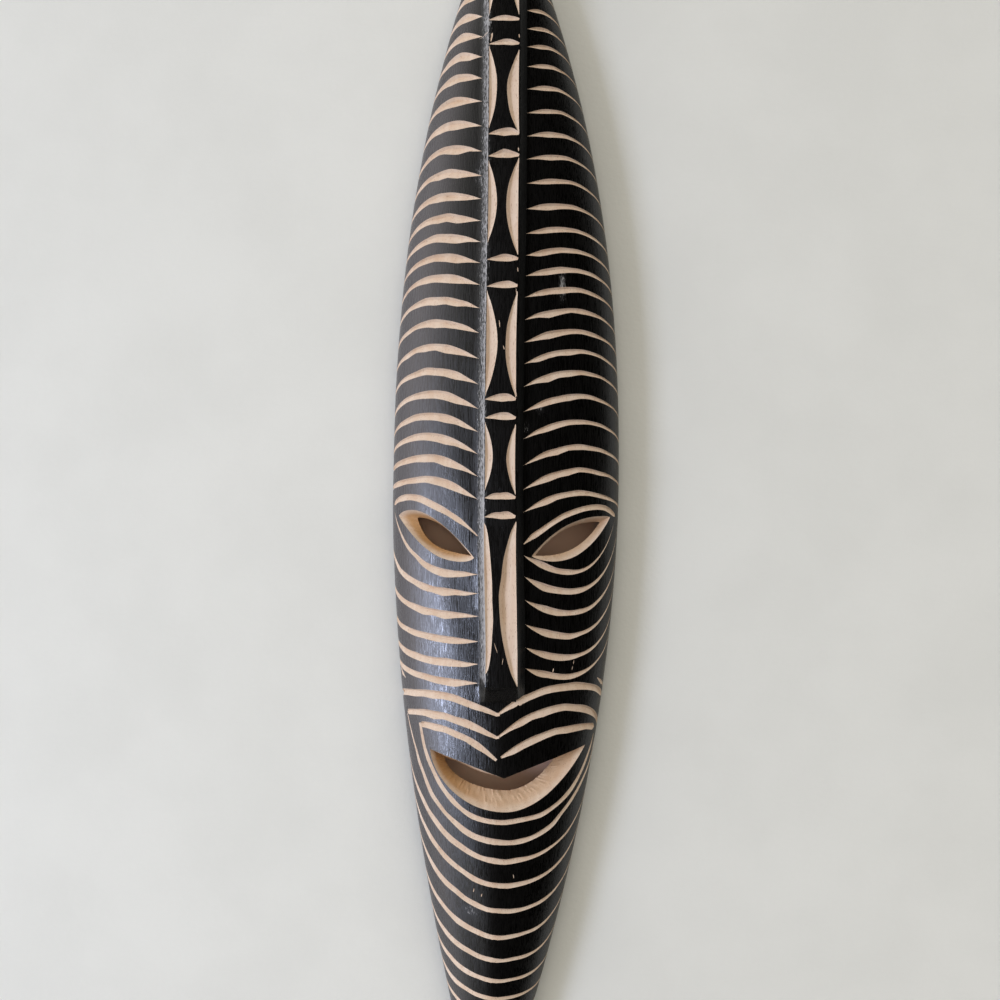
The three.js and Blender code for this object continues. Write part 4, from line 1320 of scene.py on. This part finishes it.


# %% Where the painted sheen and the painted shade go, and all of it stored
PAINTED_SHEEN_FROM, PAINTED_SHEEN_TO, PAINTED_SHEEN_ENDS = 0.35, 0.85, 0.6
BRIGHT_MIDDLE, BRIGHT_REACH = 50, (180, 420)
PAINTED_SHADE_FROM, PAINTED_SHADE_TO = 1, 6.5
PAINTED_SHADE_RIGHT, PAINTED_SHADE_LEFT_FROM = 0.45, 0.6  # less brown on the right, and in full from here to the left rim


def dusty_and_deep(x, y, z):
    """The painted sheen that greys the paint, most at mid-height by the left rim, and the painted shade
    deep in the wood, more on the left.
    """
    to_left = -(x - middle(y)) / np.maximum(half_width(y), 1)
    to_ends = smooth_step(np.abs(y - BRIGHT_MIDDLE), *BRIGHT_REACH)
    sheen_lift = smooth_step(to_left, PAINTED_SHEEN_FROM, PAINTED_SHEEN_TO) * mix(1, PAINTED_SHEEN_ENDS, to_ends)
    sides = mix(PAINTED_SHADE_RIGHT, 1, smooth_step(to_left, 0, PAINTED_SHADE_LEFT_FROM))
    return sheen_lift, smooth_step(skin_height(x, y) - z, PAINTED_SHADE_FROM, PAINTED_SHADE_TO) * sides


def store_wear(mesh):
    points = np.zeros(len(mesh.vertices) * 3)
    mesh.vertices.foreach_get("co", points)
    x, y, z = (points.reshape(-1, 3) / MM).T
    # The stored "deep" value is painted shade: it grows with depth below the skin, and more on the left.
    labels = ("wear", "sheltered", "painted_sheen", "deep")
    for label, values in zip(labels, (*worn_and_sheltered(x, y), *dusty_and_deep(x, y, z))):
        mesh.attributes.new(label, "FLOAT", "POINT").data.foreach_set("value", values)
        print(label, "on", int((values > 0.5).sum()), "points")


store_wear(mask.data)

# %% [markdown]
# ## Finishes
# The effects are node groups. Long Streaks gives the paint fine lines along the grain, which the brush
# and the sanding left. Wood Grain gives both bare woods their bands, the facets of the tool and the
# short dark pores of the timber. Everything reads Object coordinates, which here are the mask's own
# metres.

# %% Helpers for materials
NOISE_RANGE = (0.3, 0.7)  # a noise keeps near its middle, and this range spreads it from 0 to 1


def noise(tree, vector, scale=1.0, detail=3.0, roughness=0.55):
    settings = {"Vector": vector, "Scale": scale, "Detail": detail, "Roughness": roughness}
    return put(tree, "ShaderNodeTexNoise", settings).outputs["Fac"]


def object_place(tree):
    return put(tree, "ShaderNodeTexCoord").outputs["Object"]


def stretched(tree, across, along):
    """Object coordinates in units of the streak: across it, and along the grain."""
    scale = (1 / across, 1 / along, 1 / across)
    return put(tree, "ShaderNodeMapping", {"Vector": object_place(tree), "Scale": scale}).outputs[0]


def ramp(tree, value, low, high):
    """0 below low and 1 above high, smooth between."""
    inputs = {"Value": value, "From Min": low, "From Max": high}
    return put(tree, "ShaderNodeMapRange", inputs, interpolation_type="SMOOTHSTEP").outputs[0]


def blend(tree, share, first, second):
    node = put(tree, "ShaderNodeMix", {0: share, 6: first, 7: second}, data_type="RGBA")
    return node.outputs[2]


def stored_value(tree, name):
    return put(tree, "ShaderNodeAttribute", attribute_name=name).outputs["Fac"]


def effect(tree, node_tree, **values):
    """The outputs of a node group, placed in a material with values of its own."""
    node = put(tree, "ShaderNodeGroup", values, node_tree=node_tree)
    return node.outputs


def start(material, **constants):
    """The material's tree and its shader, with the values that don't change over the surface."""
    material.use_nodes = True
    tree = material.node_tree
    shader = tree.nodes["Principled BSDF"]
    for label, value in constants.items():
        shader.inputs[label].default_value = value
    return tree, shader


def bumped(tree, shader, height, distance, strength):
    node = put(tree, "ShaderNodeBump", {"Height": height, "Distance": distance, "Strength": strength})
    tree.links.new(node.outputs[0], shader.inputs["Normal"])


# %% Streaks and grain
FINE_STREAK, BROAD_STREAK = (0.0007, 0.011), (0.0036, 0.07)  # across and along the grain, in metres
GRAIN_BAND, FIBRE, SPECK, FACET = (0.004, 0.07), (0.0007, 0.012), (0.00055, 0.0035), (0.02, 0.013)
PORE_RANGE = (0.63, 0.72)
FACET_TONE, BAND_TONE = 0.45, 0.6


def long_streaks():
    tree, given, result = group("Long Streaks", "ShaderNodeTree", [
        ("Contrast", "NodeSocketFloat", "in", 0.5),
        ("Fine", "NodeSocketFloat", "out", None),
        ("Broad", "NodeSocketFloat", "out", None),
    ])
    fine = noise(tree, stretched(tree, *FINE_STREAK), roughness=0.6)
    broad = noise(tree, stretched(tree, *BROAD_STREAK), detail=2.0)
    low = calc(tree, "SUBTRACT", 0.5, given["Contrast"])
    high = calc(tree, "ADD", 0.5, given["Contrast"])
    tree.links.new(ramp(tree, fine, low, high), result["Fine"])
    tree.links.new(ramp(tree, broad, *NOISE_RANGE), result["Broad"])
    return tree


def wood_grain():
    tree, given, result = group("Wood Grain", "ShaderNodeTree", [
        ("Pores", "NodeSocketFloat", "in", 0.5),
        ("Tone", "NodeSocketFloat", "out", None),
        ("Pore", "NodeSocketFloat", "out", None),
        ("Height", "NodeSocketFloat", "out", None),
    ])
    bands = noise(tree, stretched(tree, *GRAIN_BAND))
    fibre = noise(tree, stretched(tree, *FIBRE))
    specks = noise(tree, stretched(tree, *SPECK), detail=1.0)
    pore = calc(tree, "MULTIPLY", ramp(tree, specks, *PORE_RANGE), given["Pores"])
    cells = {"Vector": stretched(tree, *FACET), "Scale": 1.0}
    facet = put(tree, "ShaderNodeTexVoronoi", cells).outputs["Color"]
    tone = calc(tree, "MULTIPLY", ramp(tree, bands, *NOISE_RANGE), BAND_TONE)
    tree.links.new(calc(tree, "MULTIPLY_ADD", facet, FACET_TONE, tone), result["Tone"])
    tree.links.new(pore, result["Pore"])
    tree.links.new(calc(tree, "SUBTRACT", fibre, pore), result["Height"])
    return tree


streaks, grain = long_streaks(), wood_grain()
print("effects:", streaks.name, "with", len(streaks.nodes), "nodes,", grain.name, "with", len(grain.nodes))

# %% [markdown]
# The paint is thin and satin: it shows the wood's lines as fine streaks in its sheen, and where it is
# worn it turns grey before it shows any wood. Roughness carries most of that, with a little colour and
# a little bump. Rubbing starts in specks, so the wear on the mesh only raises a fine noise over the
# edge at which it shows.

# %% Black paint
PAINT_BLACK, STREAK_BLACK = (0.001, 0.001, 0.001, 1), (0.004, 0.0035, 0.003, 1)
PAINTED_SHEEN_GREY, RUBBED_GREY = (0.094, 0.086, 0.09, 1), (0.42, 0.415, 0.415, 1)
PAINT_IOR, STREAK_CONTRAST = 1.72, 0.13
RUB_SPECK, RUB_LIFT, RUB_RANGE, RUB_FADE = (0.0006, 0.0034), 0.24, (0.64, 0.78), (0.0, 0.25)
PATCH_SCALE, PATCH_RANGE = 38.0, (0.35, 0.65)
ROUGH_PAINT, ROUGH_STREAK, ROUGH_PATCH, ROUGH_WEAR = 0.19, 0.16, 0.06, 0.25
GLOSS, SHELTER_LOSS = 0.5, -0.4
STREAK_BUMP, SPECK_BUMP, PAINT_BUMP = 0.6, 0.7, 0.00006


def paint_colour(tree, lines, specks, wear):
    bare = ramp(tree, calc(tree, "MULTIPLY_ADD", wear, RUB_LIFT, specks), *RUB_RANGE)
    rubbed = calc(tree, "MULTIPLY", bare, ramp(tree, wear, *RUB_FADE))
    black = blend(tree, lines["Fine"], PAINT_BLACK, STREAK_BLACK)
    # painted sheen: the black is greyed on the slope towards the left rim, on the window's side
    black = blend(tree, stored_value(tree, "painted_sheen"), black, PAINTED_SHEEN_GREY)
    return blend(tree, rubbed, black, RUBBED_GREY)


def paint_roughness(tree, lines, wear):
    patch = ramp(tree, noise(tree, object_place(tree), PATCH_SCALE, 2.0), *PATCH_RANGE)
    rough = calc(tree, "MULTIPLY_ADD", lines["Fine"], ROUGH_STREAK, ROUGH_PAINT)
    rough = calc(tree, "MULTIPLY_ADD", patch, ROUGH_PATCH, rough)
    return calc(tree, "MULTIPLY_ADD", wear, ROUGH_WEAR, rough)


def paint_finish():
    tree, shader = start(black_paint, IOR=PAINT_IOR)
    lines = effect(tree, streaks, Contrast=STREAK_CONTRAST)
    specks = noise(tree, stretched(tree, *RUB_SPECK), roughness=0.7)
    wear = stored_value(tree, "wear")
    tree.links.new(paint_colour(tree, lines, specks, wear), shader.inputs["Base Color"])
    tree.links.new(paint_roughness(tree, lines, wear), shader.inputs["Roughness"])
    gloss = calc(tree, "MULTIPLY_ADD", stored_value(tree, "sheltered"), SHELTER_LOSS, GLOSS)
    tree.links.new(gloss, shader.inputs["Specular IOR Level"])
    height = calc(tree, "MULTIPLY", lines["Fine"], STREAK_BUMP)
    height = calc(tree, "MULTIPLY_ADD", lines["Broad"], STREAK_BUMP, height)
    height = calc(tree, "MULTIPLY_ADD", specks, SPECK_BUMP, height)
    bumped(tree, shader, height, PAINT_BUMP, 1.0)


paint_finish()

# %% [markdown]
# The cuts and the back are the same timber. The cuts are pale where the gouge opened them, and browner
# deep in the openings, which is painted shade, most of all on the left. The back is older, rougher and
# brown all over.

# %% Cut wood and raw wood
WOOD_IOR = 1.45
ROUGH_TONE, GRAIN_STRENGTH = 0.1, 0.6
# In each look, "deep" is the colour of painted shade, laid where the wood lies deep below the skin.
FRESH_LOOK = {
    "light": (0.77, 0.65, 0.54, 1), "dark": (0.69, 0.54, 0.42, 1), "deep": (0.54, 0.335, 0.165, 1),
    "pore_colour": (0.36, 0.2, 0.12, 1), "pores": 0.55, "roughness": 0.55, "depth": 0.0002,
}
BACK_LOOK = {
    "light": (0.5, 0.25, 0.11, 1), "dark": (0.4, 0.19, 0.08, 1), "deep": (0.45, 0.22, 0.095, 1),
    "pore_colour": (0.12, 0.065, 0.035, 1), "pores": 0.8, "roughness": 0.7, "depth": 0.0004,
}


def wood_finish(material, light, dark, deep, pore_colour, pores, roughness, depth):
    tree, shader = start(material, IOR=WOOD_IOR)
    lines = effect(tree, grain, Pores=pores)
    base = blend(tree, lines["Tone"], light, dark)
    # painted shade: browner where the stored value says the wood lies deep
    base = blend(tree, stored_value(tree, "deep"), base, deep)
    tree.links.new(blend(tree, lines["Pore"], base, pore_colour), shader.inputs["Base Color"])
    rough = calc(tree, "MULTIPLY_ADD", lines["Tone"], ROUGH_TONE, roughness)
    tree.links.new(rough, shader.inputs["Roughness"])
    bumped(tree, shader, lines["Height"], depth, GRAIN_STRENGTH)


wood_finish(cut_wood, **FRESH_LOOK)
wood_finish(raw_wood, **BACK_LOOK)
print("finishes:", [finish.name for finish in FINISHES])

# %% [markdown]
# ## Pale wall, window light
# The photograph has the mask against a pale plastered wall, which here is the floor that it lies on. A
# cool window on the left makes the long bluish sheen down that side and the soft shadow on the other. A
# broad warm light from above fills the shadows, and the room is bright only on the window's side, so
# that the right slope mirrors nothing and stays black. Behind the mask the plaster is painted brown, as
# painted shade and warm light bounced from the wood, and it shows through the eyes and the mouth.

# %% Plastered floor
FLOOR_REACH = 4000
PLASTER_TONES = (0.79, 0.795, 0.755, 1), (0.82, 0.825, 0.785, 1)
PLASTER_ROUGHNESS, MOTTLE_SCALE = 0.85, 9.0
GRIT_SCALE, GRIT_DEPTH, GRIT_STRENGTH = 260.0, 0.0006, 0.35
PAINTED_BOUNCE, PAINTED_BOUNCE_FADE, PAINTED_BOUNCE_COLOUR = (0.085, 0.4), (0.8, 1), (0.97, 0.7, 0.53, 1)


def pale_floor():
    corners = [(x * FLOOR_REACH, y * FLOOR_REACH, 0) for x, y in ((-1, -1), (1, -1), (1, 1), (-1, 1))]
    floor = mesh_object("floor", corners, [(0, 1, 2, 3)])
    plaster = bpy.data.materials.new("pale plaster")
    tree, shader = start(plaster, Roughness=PLASTER_ROUGHNESS)
    mottle = noise(tree, object_place(tree), MOTTLE_SCALE)
    paint = blend(tree, ramp(tree, mottle, *NOISE_RANGE), *PLASTER_TONES)
    # painted shade and bounce light: a warm brown oval on the plaster under the mask, seen through the
    # openings
    oval = stretched(tree, *PAINTED_BOUNCE)
    away = put(tree, "ShaderNodeVectorMath", {0: oval}, operation="LENGTH").outputs["Value"]
    paint = blend(tree, ramp(tree, away, *PAINTED_BOUNCE_FADE), PAINTED_BOUNCE_COLOUR, paint)
    tree.links.new(paint, shader.inputs["Base Color"])
    grit = noise(tree, object_place(tree), GRIT_SCALE, 4.0)
    bumped(tree, shader, grit, GRIT_DEPTH, GRIT_STRENGTH)
    floor.data.materials.append(plaster)
    print("floor reaches", FLOOR_REACH * MM, "metres each way")


pale_floor()

# %% Window, ceiling and room
WINDOW = {"place": (-2.64, -0.65, 2.02), "size": (1.2, 0.7), "energy": 44, "colour": (0.8, 0.89, 1.17)}
CEILING = {"place": (0.3, 0.48, 0.82), "spread": 1.6, "strength": 1.8, "colour": (1.0, 0.96, 0.88)}
ROOM = {"left": (1.3, 1.26, 1.2), "above": (0.1, 0.092, 0.09), "right": (0.012, 0.01, 0.008)}
LEFT_FADE, RIGHT_FADE = (-0.92, -0.3), (-0.1, 0.7)
PICTURE_GAMMA = 0.85


def aimed_light(name, kind, place, energy, colour):
    """A light that looks at the middle of the mask from its place."""
    light = bpy.data.lights.new(name, kind)
    light.energy = energy
    light.color = colour
    made = linked(name, light)
    made.location = place
    made.rotation_euler = (-Vector(place)).to_track_quat("-Z", "Y").to_euler()
    return made


def window_light(place, size, energy, colour):
    """A soft rectangle of light, which the paint mirrors as its sheen."""
    made = aimed_light("window", "AREA", place, energy, colour)
    made.data.shape = "RECTANGLE"
    made.data.size, made.data.size_y = size
    print("window at", place)


def broad_light(place, spread, strength, colour):
    """An even light from a wide part of the room, too broad for the paint to mirror."""
    made = aimed_light("ceiling", "SUN", place, strength, colour)
    made.data.angle = spread
    made.visible_glossy = False
    print("ceiling light spread over", round(math.degrees(spread)), "degrees")


def room_fill(left, above, right):
    """A room that is bright on the window's side, dim above and dark on the other side."""
    world = bpy.data.worlds.new("room")
    world.use_nodes = True
    tree = world.node_tree
    direction = put(tree, "ShaderNodeTexCoord").outputs["Generated"]
    sideways = put(tree, "ShaderNodeSeparateXYZ", {0: direction}).outputs["X"]
    dimmer = blend(tree, ramp(tree, sideways, *RIGHT_FADE), (*above, 1), (*right, 1))
    room = blend(tree, ramp(tree, sideways, *LEFT_FADE), (*left, 1), dimmer)
    tree.links.new(room, tree.nodes["Background"].inputs["Color"])
    bpy.context.scene.world = world


window_light(**WINDOW)
broad_light(**CEILING)
room_fill(**ROOM)
bpy.context.scene.view_settings.view_transform = "Standard"
bpy.context.scene.view_settings.gamma = PICTURE_GAMMA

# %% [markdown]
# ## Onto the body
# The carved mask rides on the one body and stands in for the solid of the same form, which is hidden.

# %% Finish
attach(mask, "root")
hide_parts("mask")
